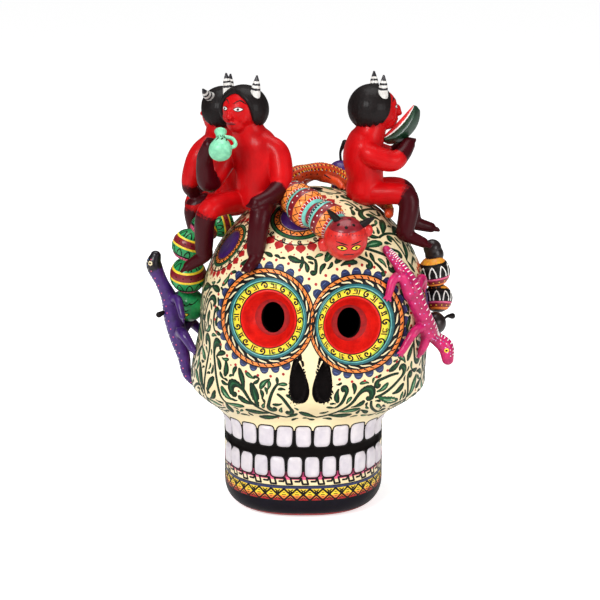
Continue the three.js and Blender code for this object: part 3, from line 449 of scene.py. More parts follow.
# Each paint: its material's name, its colour and that of its darker patches, and its own settings.
PAINTS = {
    "black": ("line_black", (0.06, 0.05, 0.05), (0.03, 0.02, 0.02),
              {"blotch": 260, "rough": 0.42, "coat": 0.1, "gloss": 0.15}),
    "green": ("scroll_green", (0.07, 0.21, 0.12), (0.03, 0.11, 0.06), MATT),
    "leaf": ("leaf_green", (0.13, 0.36, 0.21), (0.06, 0.20, 0.12), MATT),
    "pale": ("leaf_pale", (0.42, 0.62, 0.44), (0.30, 0.50, 0.34), {"rough": 0.35}),
    "navy": ("scallop_navy", (0.13, 0.18, 0.36), (0.07, 0.10, 0.22), {"rough": 0.35}),
    "teal": ("ring_teal", (0.14, 0.42, 0.44), (0.06, 0.26, 0.30), {}),
    "aqua": ("ring_aqua", (0.45, 0.76, 0.70), (0.30, 0.60, 0.56), {}),
    "yellow": ("ring_yellow", (0.96, 0.84, 0.20), (0.88, 0.68, 0.12), {}),
    "orange": ("ring_orange", (0.95, 0.55, 0.22), (0.85, 0.38, 0.13), {}),
    "red": ("dot_red", (0.70, 0.06, 0.07), (0.48, 0.03, 0.05), {}),
    "blue": ("frill_blue", (0.35, 0.45, 0.68), (0.22, 0.30, 0.52), {}),
    "lime": ("ring_lime", (0.52, 0.70, 0.22), (0.90, 0.80, 0.14), {"blotch": 110}),
    "ink": ("base_ink", (0.06, 0.04, 0.09), (0.02, 0.01, 0.03),
            {"blotch": 160, "share": 0.8, "coat": 0.12, "gloss": 0.08}),
    "pink": ("line_pink", (0.88, 0.35, 0.52), (0.75, 0.22, 0.40), {}),
    "purple": ("disc_purple", (0.24, 0.10, 0.38), (0.14, 0.05, 0.24), {"blotch": 300}),
    "gum": ("gum_maroon", (0.62, 0.09, 0.32), (0.42, 0.05, 0.20), {}),
    "white": ("line_white", (0.93, 0.92, 0.90), (0.82, 0.80, 0.78), {}),
    "cream": ("cream_ground", (0.92, 0.86, 0.70), (0.86, 0.76, 0.55),
              {"blotch": 60, "share": 0.8, "rough": 0.3, "coat": 0.5}),
    "brown": ("line_brown", (0.45, 0.24, 0.14), (0.30, 0.15, 0.09), {}),
    "soot": ("slit_soot", (0.06, 0.04, 0.04), (0.03, 0.02, 0.02),
             {"blotch": 500, "rough": 0.75, "coat": 0.0, "gloss": 0.08}),
    "funnel": ("funnel_red", (0.84, 0.10, 0.06), (0.68, 0.05, 0.04),
               {"blotch": 220, "rough": 0.5, "coat": 0.05, "gloss": 0.12}),
    # A darker red for the funnel near the hole: painted shade at the socket's bottom.
    "deep": ("funnel_painted_shade", (0.66, 0.05, 0.05), (0.45, 0.02, 0.04),
             {"blotch": 300, "rough": 0.6, "coat": 0.0}),
    # The hollow's near-black colour is painted shade, so that the eye holes read dark.
    "hollow": ("hollow_painted_shade", (0.10, 0.07, 0.06), (0.05, 0.03, 0.03),
               {"blotch": 260, "rough": 0.8, "coat": 0.0, "gloss": 0.05}),
    "tooth": ("tooth_white", (0.84, 0.81, 0.82), (0.70, 0.67, 0.72),
              {"blotch": 160, "share": 0.8, "rough": 0.32, "coat": 0.4}),
    "skin": ("devil_red", (0.78, 0.03, 0.05), (0.56, 0.01, 0.03),
             {"blotch": 75, "share": 0.8, "coat": 0.08, "gloss": 0.12, "tone": (0.22, 0.0, 0.03)}),
    "hair": ("hair_black", (0.09, 0.06, 0.06), (0.04, 0.03, 0.03),
             {"blotch": 500, "rough": 0.5, "coat": 0.06, "gloss": 0.15, "bump": 0.6, "fine": 900}),
    "horn": ("horn_white", (0.88, 0.87, 0.85), (0.70, 0.68, 0.66),
             {"blotch": 500, "tone": (0.13, 0.12, 0.14)}),
    "jug": ("jug_green", (0.52, 0.82, 0.66), (0.38, 0.68, 0.54), {"blotch": 400}),
    "rind": ("rind_green", (0.06, 0.22, 0.13), (0.03, 0.12, 0.07), {"blotch": 350}),
    "flesh": ("melon_red", (0.82, 0.12, 0.13), (0.65, 0.07, 0.09), {"blotch": 300}),
    "bead_green": ("bead_green", (0.12, 0.62, 0.34), (0.07, 0.45, 0.25), {"blotch": 400}),
    "bead_black": ("bead_black", (0.14, 0.08, 0.08), (0.07, 0.04, 0.04), {"blotch": 400}),
    "gold": ("bead_gold", (0.92, 0.66, 0.16), (0.80, 0.48, 0.12), {"blotch": 400}),
    "maroon": ("bead_maroon", (0.52, 0.07, 0.12), (0.36, 0.04, 0.08), {"blotch": 400}),
    "head_red": ("head_red", (0.80, 0.13, 0.10), (0.62, 0.07, 0.07), {"blotch": 300}),
    "magenta": ("lizard_magenta", (0.76, 0.06, 0.37), (0.52, 0.03, 0.24), {"blotch": 260}),
    "violet": ("lizard_violet", (0.27, 0.11, 0.44), (0.15, 0.05, 0.27),
               {"blotch": 260, "tone": (0.06, 0.03, 0.07)}),
    "lizard_orange": ("lizard_orange", (0.88, 0.30, 0.10), (0.72, 0.18, 0.08), {"blotch": 260}),
    "lilac": ("dot_lilac", (0.85, 0.62, 0.85), (0.75, 0.48, 0.75), {"blotch": 400}),
}
PAINT = {key: paint(name, color, other, **own) for key, (name, color, other, own) in PAINTS.items()}


# The skull itself.
def mouth_relief(s, z):
    """How far the wall is drawn in between the rows of teeth."""
    inside = np.clip((z - 35.6) / 1.6, 0, 1) * np.clip((41.4 - z) / 1.6, 0, 1)
    ends = np.clip((52.5 - np.abs(s)) / 3, 0, 1)
    return -1.1 * ease(inside) * ease(ends)


JAW = Band(39.0, mouth_relief)
NOSE_LINE = Band(NOSE_Z)


def closed_grid(rows, first, last):
    """Joins rings of points into a closed shape that ends in a point at both ends."""
    sides = len(rows[0])
    points = np.vstack([[first], *rows, [last]])
    faces = []
    for i in range(sides):
        j = (i + 1) % sides
        faces.append((0, 1 + j, 1 + i))
        for r in range(len(rows) - 1):
            a, b = 1 + r * sides, 1 + (r + 1) * sides
            faces.append((a + i, a + j, b + j, b + i))
        top = 1 + (len(rows) - 1) * sides
        faces.append((len(points) - 1, top + i, top + j))
    return points, faces


def plain_object(name, points, faces):
    made = bpy.data.meshes.new(name)
    made.from_pydata((np.asarray(points) * MM).tolist(), [], faces)
    form = bmesh.new()
    form.from_mesh(made)
    bmesh.ops.recalc_face_normals(form, faces=form.faces)
    form.to_mesh(made)
    form.free()
    made.update()
    smooth_faces(made)
    return link(name, made)


def dome_levels(top, count):
    return [DOME_H + (top - DOME_H) * math.sin(math.pi / 2 * k / count) for k in range(1, count)]


def skull_outside():
    turns = np.linspace(0, 360, 300, endpoint=False)
    levels = [RIM * (1 - math.cos(math.pi / 2 * k / 12)) for k in range(12)]
    levels += [*np.linspace(RIM, JAW_H, 54), *np.linspace(JAW_H, DOME_H, 66)[1:]]
    levels += dome_levels(SKULL_H, 64)
    signed = np.where(turns > 90, turns - 360, turns)
    run = np.interp(signed, Band.turns, JAW.run)
    rows = []
    for z in levels:
        level = np.full(len(turns), z)
        p = wall(turns, level)
        if 34 < z < 43:
            p = p + wall_normal(turns, level) * mouth_relief(run, level)[:, None]
        rows.append(p)
    return closed_grid(rows, [0, 0, 0], [SHIFT, 0, SKULL_H])


def skull_inside():
    turns = np.linspace(0, 360, 64, endpoint=False)
    top = SKULL_H - WALL
    levels = [FLOOR, *np.linspace(JAW_H, CHEEK_H, 7), 78, 90, DOME_H, *dome_levels(top, 14)]
    rows = [wall(turns, np.full(len(turns), z), WALL) for z in levels]
    return closed_grid(rows, [0, 0, FLOOR], [SHIFT, 0, top])


def lathe(outline, turn, z, sides=72, squash=1.0):
    """A shape turned about the wall's normal. An outline row is a radius and a height over the wall."""
    n = wall_normal(turn, z)
    o = wall(turn, z)
    side = unit(np.cross((0, 0, 1), n))
    rise = np.cross(n, side)
    a = circle(sides)
    rows = []
    for r, h in outline:
        rows.append(o + np.outer(np.cos(a) * r * squash, side) + np.outer(np.sin(a) * r, rise) + n * h)
    return closed_grid(rows, o + n * outline[0][1], o + n * outline[-1][1])


def bake(piece):
    """Turns a piece's modifiers into its mesh."""
    bpy.context.view_layer.update()
    graph = bpy.context.evaluated_depsgraph_get()
    made = bpy.data.meshes.new_from_object(piece.evaluated_get(graph))
    piece.modifiers.clear()
    old = piece.data
    piece.data = made
    bpy.data.meshes.remove(old)


def combine(base, shape, operation="DIFFERENCE"):
    other = plain_object("cutter", *shape)
    modifier = base.modifiers.new("cut", "BOOLEAN")
    modifier.operation = operation
    modifier.object = other
    modifier.solver = "EXACT"
    bake(base)
    bpy.data.objects.remove(other, do_unlink=True)


def nose_prism(side):
    """The cutter of a nose slit: a leaning drop that narrows inward."""
    half, belly = 13.0, 4.75
    v = np.array([(0, half), (belly * 0.5, half * 0.6), (belly * 1.3, -half * 0.2), (belly, -half * 0.62),
                  (belly * 0.7, -half), (0, -half)])
    right = []
    for k in np.linspace(0, 1, 9)[:-1]:
        q = 1 - k
        right.append(q**3 * v[0] + 3 * q**2 * k * v[1] + 3 * q * k * k * v[2] + k**3 * v[3])
    for k in np.linspace(0, 1, 9):
        q = 1 - k
        right.append(q**2 * v[3] + 2 * q * k * v[4] + k * k * v[5])
    line = right + [np.array([-x, y]) for x, y in right[::-1]][1:-1]
    c, s = cos_sin(-side * 7)
    line = np.array([(x * c - y * s, x * s + y * c) for x, y in line])[::-1]
    turn = float(NOSE_LINE.turn(side * SLIT_OFF))
    n = wall_normal(turn, NOSE_Z)
    n = unit([n[0], n[1], 0])
    o = wall(turn, NOSE_Z)
    u = unit(np.cross((0, 0, 1), n))
    rows = []
    for h, k in ((-3.5, 0.72), (-3.0, 0.86), (-1.5, 0.97), (0.2, 1.06), (6.0, 1.1)):
        rows.append(o + np.outer(line[:, 0] * k, u) + np.outer(line[:, 1] * k, (0, 0, 1)) + n * h)
    return closed_grid([r[::-1] for r in rows], o - n * 3.5, o + n * 6.0)


def build_skull():
    skull = plain_object("skull_body", *skull_outside())
    combine(skull, skull_inside())
    deep = SOCKET_DEPTH + SOCKET_WALL
    reach = HOLE_H / 2
    rim = SOCKET_R + SOCKET_WALL
    middle = reach + (SOCKET_R - reach) * 0.62
    cup = [(reach + SOCKET_WALL, -deep), (rim, -SOCKET_WALL * 2), (rim, -SOCKET_WALL * 1.4)]
    funnel = [(reach, -SOCKET_DEPTH), (reach + 1.4, -SOCKET_DEPTH + 0.6), (middle, -SOCKET_DEPTH / 2),
              (SOCKET_R - 0.9, -1.3), (SOCKET_R, 0.3), (SOCKET_R, 6.0)]
    hole = [(reach, -deep - 3), (reach, 2 - SOCKET_DEPTH)]
    for turn, z in EYES:
        combine(skull, lathe(cup, turn, z), "UNION")
        combine(skull, lathe(funnel, turn, z))
        combine(skull, lathe(hole, turn, z, squash=HOLE_W / HOLE_H))
    for side in (-1, 1):
        combine(skull, nose_prism(side))
    return skull


def color_skull(skull):
    """Gives the skull's faces their paint: funnels, holes, hollow, nose slits and mouth. The near-black
    hollow and the darker red near each hole are painted shade.
    """
    colors = ("cream", "funnel", "hollow", "soot", "deep")
    for color in colors:
        skull.data.materials.append(PAINT[color])
    mesh = skull.data
    count = len(mesh.polygons)
    middles = np.empty(count * 3)
    mesh.polygons.foreach_get("center", middles)
    middles = middles.reshape(-1, 3) / MM
    x, y, z = middles.T
    depth = rho(middles)
    inner = (depth < 0.985) & (z > 1.0)
    index = np.zeros(count, int)
    # The inside faces take the near-black paint: painted shade inside the hollow.
    index[inner] = colors.index("hollow")
    for eye in EYES:
        n = wall_normal(*eye)
        away = middles - wall(*eye)
        ahead = away @ n
        radial = np.linalg.norm(away - ahead[:, None] * n, axis=1)
        funnel = (ahead > -SOCKET_DEPTH - 0.4) & (radial > 5.5)
        index[funnel & (radial < SOCKET_R + 1) & (ahead > -4)] = colors.index("funnel")
        index[funnel & inner & (radial < SOCKET_R + 0.2)] = colors.index("funnel")
        # Near the hole the funnel takes the darker red: painted shade where the socket is deepest.
        index[funnel & inner & (radial < HOLE_H / 2 + 1.0)] = colors.index("deep")
    slits = (z > 66) & (z < 97) & (np.abs(x - NOSE_X) < 15) & (y < -52) & (depth < 0.996)
    mouth = (z > 34.8) & (z < 42.6) & (y < -12) & (depth > 0.93)
    index[slits | mouth] = colors.index("soot")
    mesh.polygons.foreach_set("material_index", index.tolist())
    smooth_faces(mesh)
    mesh.set_sharp_from_angle(angle=math.radians(38))


skull = build_skull()
color_skull(skull)
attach(skull, "root")
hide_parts("skull_shell")

# The painted ornament goes into one bag for each colour.
BAG_COLORS = ("black", "green", "leaf", "pale", "navy", "teal", "aqua", "yellow", "orange", "red", "blue",
              "lime", "ink", "pink", "purple", "gum", "white", "cream", "brown", "soot")
bags = {color: Bag() for color in BAG_COLORS}


def draw(color, chart, line, width, lift, closed=False):
    stroke(bags[color], chart, line, width, lift, closed)


def rope(chart, r, width, count):
    """A twisted cord drawn in black: fat slanting strokes, each tucked under the next."""
    reach = 2 * math.pi / count * 1.5
    t = np.linspace(0, 1, 9)
    for a in spokes(count):
        radii = r + width * 0.5 * np.sin((t - 0.5) * math.pi)
        angles = a + reach * (t + 0.12 * np.sin(t * 2 * math.pi))
        draw("black", chart, polar(radii, angles), 0.75 + 1.4 * np.sin(t * math.pi), 0.17)


def rings(chart, belts, lines, seg, size=1.0):
    """Painted belts and lines round one middle."""
    for color, low, high, lift, parts in belts:
        belt(bags[color], chart, low * size, high * size, lift, seg, parts)
    for color, r, width, lift in lines:
        draw(color, chart, polar(r * size, circle(84)), width, lift, closed=True)


class Drift:
    """A sheet whose outer rings sit a little to one side of the inner ones."""

    def __init__(self, chart, shift, start=15.0, stop=25.8):
        self.chart, self.shift, self.start, self.stop = chart, shift, start, stop

    def __call__(self, uv, lift):
        uv = np.array(uv, float)
        r = np.linalg.norm(uv, axis=1)
        uv[:, 0] += self.shift * np.clip((r - self.start) / (self.stop - self.start), 0, 1)
        return self.chart(uv, lift)


def scallops(chart, r0, r1, count, rival):
    """A frill of filled half rounds with a red spot in each dip, left out where the other eye's rings lie."""
    half = math.pi * r0 / count
    centre, limit = rival

    def clear(spot, past, squash, nose):
        far = math.hypot(spot[0] - NOSE_X, (spot[2] - NOSE_Z) * squash) >= nose
        return np.linalg.norm(spot - centre) >= limit + past and far

    for a in spokes(count):
        size = 1 + rng.normal(0, 0.05)
        if not clear(chart(np.array([ring_point(r1, a)]), 0)[0], 0, 0.75, 9.5):
            continue
        dot(bags["navy"], chart, ring_point(r0, a), half * 0.96 * size, 0.09, 14, (r1 - r0) / half, a)
        ends = [math.degrees(a + way * half / r0 * 0.45) for way in (-1, 1)]
        draw("blue", chart, arc((0, 0), r0 + (r1 - r0) * 0.5, *ends, 5), [0.1, 0.3, 0.4, 0.3, 0.1], 0.12)
        dip = a + math.pi / count
        if clear(chart(np.array([ring_point(r1 + 0.6, dip)]), 0)[0], 2, 0.66, 11.5):
            dot(bags["red"], chart, ring_point(r1 + 0.7, dip), 0.85, 0.14, 8)


# An eye's belts: colour, inner and outer radius, lift and parts. Its lines: colour, radius, width and lift.
EYE_BELTS = (("yellow", 15.02, 18.9, 0.06, 2), ("lime", 17.9, 18.9, 0.09, 1), ("teal", 18.9, 21.1, 0.1, 1),
             ("cream", 21.1, 23.3, 0.08, 1), ("orange", 23.3, 25.4, 0.13, 1))
EYE_LINES = (("black", 15.15, 0.6, 0.14), ("black", 18.9, 0.55, 0.14), ("aqua", 19.5, 0.5, 0.16),
             ("black", 21.15, 0.5, 0.14), ("black", 23.4, 0.65, 0.17), ("black", 25.5, 0.95, 0.18))


def eye_rings(turn, z, shift, rival):
    chart = Drift(Chart(turn, z), shift)
    scallops(chart, 25.6, 29.4, 28, rival)
    rings(chart, EYE_BELTS, EYE_LINES, 96)
    rope(chart, 22.25, 1.9, 22)
    count = 11
    step = math.pi / count
    for k, a in enumerate(spokes(count)):
        a += rng.normal(0, 0.02)
        way = 1 if k % 2 else -1
        curl = spiral(ring_point(16.95, a), 0.2, 1.85, math.degrees(a) + 40, way * 400, 20)
        draw("black", chart, curl, 0.98, 0.18)
        for side, low, high in ((0.82, 16.0, 18.1), (1.06, 16.2, 17.9)):
            b = a + side * math.pi / count
            draw("black", chart, [ring_point(low, b), ring_point(high, b + 0.02)], 0.8, 0.18)
        b = a - step * 0.76
        draw("black", chart, spiral(ring_point(17.9, b), 0.5, 0.5, 0, 360, 9)[:-1], 0.5, 0.18, closed=True)
        draw("black", chart, arc((0, 0), 16.1, math.degrees(b) - 2.5, math.degrees(b) + 2.5, 4), 0.5, 0.18)
    for k in range(42):
        a = 2 * math.pi * (k + 0.5) / 42
        draw("black", chart, [ring_point(23.9, a), ring_point(24.7, a + 0.05)], 0.85, 0.17)


eye_rings(*LEFT_EYE, -1.8, (wall(*RIGHT_EYE), 28.0))
eye_rings(*RIGHT_EYE, 3.4, (wall(*LEFT_EYE), 27.0))

MEDALLION_BELTS = (("orange", 10.8, 13.8, 0.06, 2), ("leaf", 13.8, 15.6, 0.08, 1),
                   ("cream", 15.9, 18.9, 0.06, 2))
MEDALLION_LINES = (("brown", 10.7, 0.6, 0.14), ("black", 11.1, 0.6, 0.14), ("black", 13.9, 0.9, 0.14),
                   ("black", 15.8, 0.6, 0.14), ("black", 19.0, 0.7, 0.14))
# Way round, height, size and how many rays its disc has.
MEDALLIONS = ((-102, 162, 1.0, 0), (-158, 145, 0.82, 0), (-8, 115, 0.86, 0), (90, 115, 1.15, 11),
              (168, 87, 0.8, 9), (40, 135, 0.8, 9), (135, 131, 0.8, 9))


def medallion(turn, z, size, rays):
    chart = Chart(turn, z)

    def at(r, a):
        return ring_point(r * size, a)

    belt(bags["purple"], chart, 0.05, 10.4 * size, 0.06, 72, 4)
    rings(chart, MEDALLION_BELTS, MEDALLION_LINES, 84, size)
    half = math.pi / 14
    for a in spokes(14):
        for side in (-0.45, 0.45):
            draw("black", chart, [at(11.7, a + side * half), at(13.2, a + side * half * 0.1)], 0.8, 0.15)
        dot(bags["black"], chart, at(12.7, a + half), 0.55, 0.15, 7)
    for a in spokes(13):
        draw("black", chart, spiral(at(17.4, a), 0.2, 1.3, math.degrees(a), 400, 14), 0.95, 0.15)
        dot(bags["red"], chart, at(17.3, a + math.pi / 13), 0.5, 0.15, 7)
    for a in spokes(rays):
        draw("orange", chart, [at(4.5, a), at(8.6, a)], [0.3, 1.5], 0.12)
    if rays:
        dot(bags["yellow"], chart, (0, 0), 2.2 * size, 0.14, 14)
    for a in spokes(22):
        petal = np.outer(np.linspace(19.2, 22.9, 6) * size, ring_point(1, a))
        draw("red", chart, petal, 5.8 * size * np.array([0.6, 0.95, 1.0, 0.9, 0.65, 0.25]), 0.11)
        dot(bags["red"], chart, at(24.2, a + math.pi / 22), 0.5, 0.12, 6)


for row in MEDALLIONS:
    medallion(*row)


def ragged_slit(side):
    """A nose slit is painted round with a dry brush, so its edge is ragged."""
    chart = Chart(float(NOSE_LINE.turn(side * SLIT_OFF)), NOSE_Z, side * 5)
    for k in range(34):
        a = 2 * math.pi * (k + rng.uniform(-0.3, 0.3)) / 34
        wide = 4.4 - 1.9 * math.sin(a)
        foot = np.array([math.cos(a) * wide * 0.85, math.sin(a) * 12.2])
        tip = foot * (1.0 + rng.uniform(0.04, 0.2)) + [0, rng.uniform(-0.6, 1.2)]
        draw("soot", chart, [foot * 0.92, foot, tip], [1.0, 1.5, 0.4], 0.07)


for side in (-1, 1):
    ragged_slit(side)

# The jaw's belts, from the base up: colour, lowest, highest, lift and parts.
HALF_GIRTH = JAW.girth / 2
JAW_BELTS = (("red", 0.25, 3.0, 0.05, 6), ("ink", 3.0, 11.3, 0.08, 12), ("yellow", 11.4, 18.2, 0.05, 4),
             ("orange", 11.4, 15.0, 0.08, 2), ("red", 11.4, 13.2, 0.1, 2), ("navy", 18.1, 19.6, 0.12, 2),
             ("cream", 19.6, 25.4, 0.04, 3), ("gum", 24.6, 28.6, 0.06, 3), ("pink", 22.6, 24.9, 0.06, 2))


def jaw_sheet(color, half, low, high, across, parts, lift):
    sheet(bags[color], JAW, [(-half, low), (half, low), (half, high), (-half, high)], across, parts, lift)


def lattice(count):
    """Crossed lines with a nested mark over and under each crossing and bars in each lozenge."""
    pitch = JAW.girth / count
    for k in range(count):
        s = -HALF_GIRTH + pitch * k
        for way in (-1, 1):
            reach = way * pitch / 2
            draw("black", JAW, [(s - reach, 11.6), (s, 14.8), (s + reach, 18.0)], 1.3, 0.17)
        for high, wide in ((16.9, 1.1), (15.9, 0.55)):
            nest = [(s - wide, high + 0.5), (s, high - 0.35), (s + wide, high + 0.5)]
            draw("black", JAW, nest, 0.8, 0.17)
        draw("black", JAW, [(s - 1.1, 12.4), (s, 13.3), (s + 1.1, 12.4)], 0.75, 0.17)
        for high, wide in ((14.8, 0.9), (16.1, 0.45), (13.5, 0.45)):
            draw("black", JAW, [(s + pitch / 2 - wide, high), (s + pitch / 2 + wide, high)], 0.5, 0.17)
    for level, width in ((11.4, 0.5), (19.75, 0.45)):
        draw("black", JAW, [(x, level) for x in np.linspace(-HALF_GIRTH, HALF_GIRTH, 200)], width, 0.17)


def fret(count):
    """A stepped key, again and again round the jaw."""
    pitch = JAW.girth / count
    key = ((-0.04, 20.7), (0.3, 20.7), (0.2, 24.0), (0.86, 24.0), (0.76, 22.2), (0.5, 22.2))
    for k in range(count):
        s = -HALF_GIRTH + pitch * k
        line = [np.array([s + x * pitch, h]) for x, h in key]
        for a, b in zip(line[:-1], line[1:]):
            draw("black", JAW, [a, (a + b) / 2, b], 1.3, 0.15)
        draw("black", JAW, [(s + 0.86 * pitch, 24.0), (s + 0.96 * pitch, 20.7)], 1.3, 0.15)


for color, low, high, lift, parts in JAW_BELTS:
    jaw_sheet(color, HALF_GIRTH, low, high, 200, parts, lift)
lattice(42)
fret(34)
jaw_sheet("soot", 54, 42.4, 50.6, 90, 5, 0.07)
jaw_sheet("soot", 54, 27.2, 35.2, 90, 5, 0.09)


def tooth_row(name, count, pitch, level, half, rise, crown):
    """A row of pillow-shaped teeth, each outlined with a brush."""
    bag = Bag()
    parts, power = 10, 4.5
    u, v = np.meshgrid(np.linspace(-1, 1, parts + 1), np.linspace(-1, 1, parts + 1))
    a, b = u.reshape(-1), v.reshape(-1)
    r = np.maximum(np.abs(a), np.abs(b))
    rounded = np.maximum((np.abs(a) ** power + np.abs(b) ** power) ** (1 / power), 1e-6)
    scale = np.where(r > 0, r / rounded, 1)
    lift = 1.3 * np.sqrt(np.maximum(0, 1 - r**7)) - 0.05 * (r > 0.999)
    c, d = np.cos(circle(40)), np.sin(circle(40))
    out = (np.abs(c) ** power + np.abs(d) ** power) ** (-1 / power)
    for k in range(count):
        s = (k - (count - 1) / 2) * pitch
        chart = Chart(float(JAW.turn(s)), level)
        lean = rng.normal(0, 0.035)
        size = 1 + rng.normal(0, 0.03)
        x, y = a * scale * half * size, b * scale * rise
        bag.add(chart(np.stack([x + lean * y, y], 1), lift), grid_faces(parts, parts))
        edge = c * out * (half * size + 0.35) + lean * d * out * rise
        ring = np.stack([edge, d * out * (rise + 0.35)], 1)
        draw("black", chart, ring, np.where(d * crown > 0.5, 0.8, 0.55), 0.16, closed=True)
    bag.mesh(name, "tooth")


tooth_row("teeth_upper", 11, 10.0, 47.0, 4.25, 5.6, 1)
tooth_row("teeth_lower", 12, 9.2, 30.2, 3.9, 5.6, -1)

# Leafwork over the free ground: sprays of brushed leaves, fitted into what is still bare.
OBSTACLES = [(*wall(t, z), 30.6) for t, z in EYES]
OBSTACLES = np.array(OBSTACLES + [(*wall(t, z), 25.2 * size) for t, z, size, _ in MEDALLIONS])
CELL, REACH, WIDE_SHARE = 0.5, 84.0, 0.4
LEAF_SCALES = (1.0, 0.82, 0.66, 0.52, 0.4)
LEAF_SHARES = np.array([0.16, 0.34, 0.6, 0.86, 1.0, 0.95, 0.6])
NEAR = np.array([(a, b, c) for a in (-1, 0, 1) for b in (-1, 0, 1) for c in (-1, 0, 1)]) * CELL
taken = np.zeros((340, 340, 380), bool)


def free_room(p):
    """How far points are from the rings, the nose, the teeth and the belts."""
    gaps = np.linalg.norm(p[:, None, :] - OBSTACLES[None, :, :3], axis=2) - OBSTACLES[:, 3]
    room = np.minimum(gaps.min(1), p[:, 2] - 27.5)
    nose = np.hypot(p[:, 0] - NOSE_X, (p[:, 2] - NOSE_Z) * 0.66) - 12.0
    room = np.where(p[:, 1] < 0, np.minimum(room, nose), room)
    over_teeth = (np.abs(p[:, 0]) < 47) & (p[:, 1] < -12)
    return np.where(over_teeth, np.minimum(room, p[:, 2] - 56.5), room)


def cells(p):
    return tuple(((p + [REACH, REACH, 4.0]) / CELL).astype(int).T)


def bare(points, margin=0.15):
    return not taken[cells(points)].any() and bool((free_room(points) > margin).all())


def mark(points):
    taken[cells((points[:, None, :] + NEAR[None]).reshape(-1, 3))] = True


def leaf_line(root, angle, length, bend):
    t = np.linspace(0, 1, 7)
    lean = angle + bend * t
    steps = np.stack([np.cos(lean), np.sin(lean)], 1) * (length / 6)
    return np.asarray(root) + np.cumsum(steps, 0) - steps[0]


def leaf(chart, line, width, color):
    """One brushed leaf: thin at its stalk, full and round towards its tip."""
    widths = width * LEAF_SHARES
    draw("black", chart, line, widths + 0.75, 0.07)
    draw(color, chart, line, widths, 0.13)
    if width > 1.5:
        streak = width * np.array([0.1, 0.26, 0.3, 0.12])
        draw("leaf" if color == "green" else "pale", chart, line[2:6], streak, 0.17)


def leaf_edge(line, width):
    """Points over a leaf, without the part at its stalk."""
    along = np.gradient(line, axis=0)
    along /= np.maximum(np.linalg.norm(along, axis=1, keepdims=True), 1e-9)
    across = np.stack([-along[:, 1], along[:, 0]], 1) * (width * LEAF_SHARES / 2)[:, None]
    tip = line[-1:] + along[-1:] * width * 0.3
    return np.vstack([line[2:], line[2:] + across[2:], line[2:] - across[2:], tip])


def leaf_row(chart, tries, scales=LEAF_SCALES):
    """Draws leaves, each at the largest size that still finds bare ground."""
    lines = [leaf_line(p, angle, length * k, bend) for k in scales for p, angle, length, bend in tries]
    sizes = [(length * k, i) for k in scales for i, (_, _, length, _) in enumerate(tries)]
    edges = [leaf_edge(line, long * WIDE_SHARE) for line, (long, _) in zip(lines, sizes)]
    spots = chart(np.vstack(edges), 0).reshape(len(lines), -1, 3)
    drawn = set()
    for line, (long, i), spot in zip(lines, sizes, spots):
        if i in drawn or not bare(spot):
            continue
        leaf(chart, line, long * WIDE_SHARE, "green" if rng.random() < 0.72 else "leaf")
        mark(spot)
        drawn.add(i)


def vine_line(length, bend, curl, count=30):
    """A stem that sways one way and rolls up at its end, with its direction and its left side."""
    t = np.linspace(0, 1, count)
    angle = bend * np.sin(t * math.pi * 0.9) + curl * np.clip((t - 0.6) / 0.4, 0, 1) ** 1.5
    steps = np.stack([np.cos(angle), np.sin(angle)], 1) * (length / (count - 1))
    steps *= np.where(t > 0.72, 1 - 0.55 * (t - 0.72) / 0.28, 1)[:, None]
    return np.cumsum(steps, 0) - steps[0], angle, np.stack([-np.sin(angle), np.cos(angle)], 1)


def vine(turn, z, roll, length, bend, curl, size, least):
    """A stem with leaves by turns on both sides, at the largest scale that fits."""
    chart = Chart(turn, z, roll, up=(0, 0, 1) if z < 152 else (0, 1, 0.2))
    scales = [scale for scale in (1.0, 0.84, 0.7, 0.58, 0.48) if scale >= least]
    lines = [vine_line(length * scale, bend, curl) for scale in scales]
    rows = []
    for line, _, across in lines:
        leaves = across[2:20] * size * 0.26
        rows += [line, line[2:20] + leaves, line[2:20] - leaves]
    spots = chart(np.vstack(rows), 0).reshape(len(lines), -1, 3)
    fits = [k for k, spot in enumerate(spots) if bare(spot, 0.5)]
    if not fits:
        return
    line, angle, across = lines[fits[0]]
    t = np.linspace(0, 1, 30)
    hook = np.clip((t - 0.6) / 0.2, 0, 1) * np.clip((1.02 - t) / 0.12, 0, 1)
    body = 0.9 + 0.4 * np.sin(t * math.pi) + hook * size * 0.2
    draw("black", chart, line, body + 0.7, 0.07)
    draw("green", chart, line, body, 0.14)
    draw("leaf", chart, line[19:27], 0.34 * body[19:27] * np.sin(np.linspace(0.2, 2.9, 8)), 0.18)
    across = across * body[:, None] / 2
    mark(chart(np.vstack([line, line + across, line - across]), 0))
    count = max(3, int(length * scales[fits[0]] * 0.7 / 2.5))
    tries = [(line[0], math.pi + side * 0.6, size * 0.8, side * 0.3) for side in (-1, 1)]
    for k in range(count):
        share = 0.04 + 0.66 * k / (count - 1)
        i = int(share * 29)
        side = 1 if k % 2 else -1
        long = size * (1.1 - 0.45 * share) * (1 + 0.06 * rng.normal())
        tries.append((line[i], angle[i] + side * math.radians(44), long, side * -0.35))
    leaf_row(chart, tries)


def wreath(eye, start, stop, radius, size):
    """A long stem that follows an eye's rings, with leaves on its outer side."""
    chart = Chart(*eye)
    count = int(abs(math.radians(stop - start)) * radius / 1.1)
    line = polar(radius, np.radians(np.linspace(start, stop, count)))
    spots = chart(line, 0)
    free = ((free_room(spots) > 0.2) & ~taken[cells(spots)]).tolist()
    if False in free:
        line = line[: free.index(False)]
    n = len(line)
    if n < 8:
        return
    draw("green", chart, line, 0.85, 0.13)
    mark(chart(line, 0))
    way = np.sign(stop - start)
    tries = []
    for k in range(2, n - 2, 4):
        ahead = line[k + 1] - line[k - 1]
        tries.append((line[k], math.atan2(ahead[1], ahead[0]) - way * math.radians(44), size, way * 0.35))
    leaf_row(chart, tries)


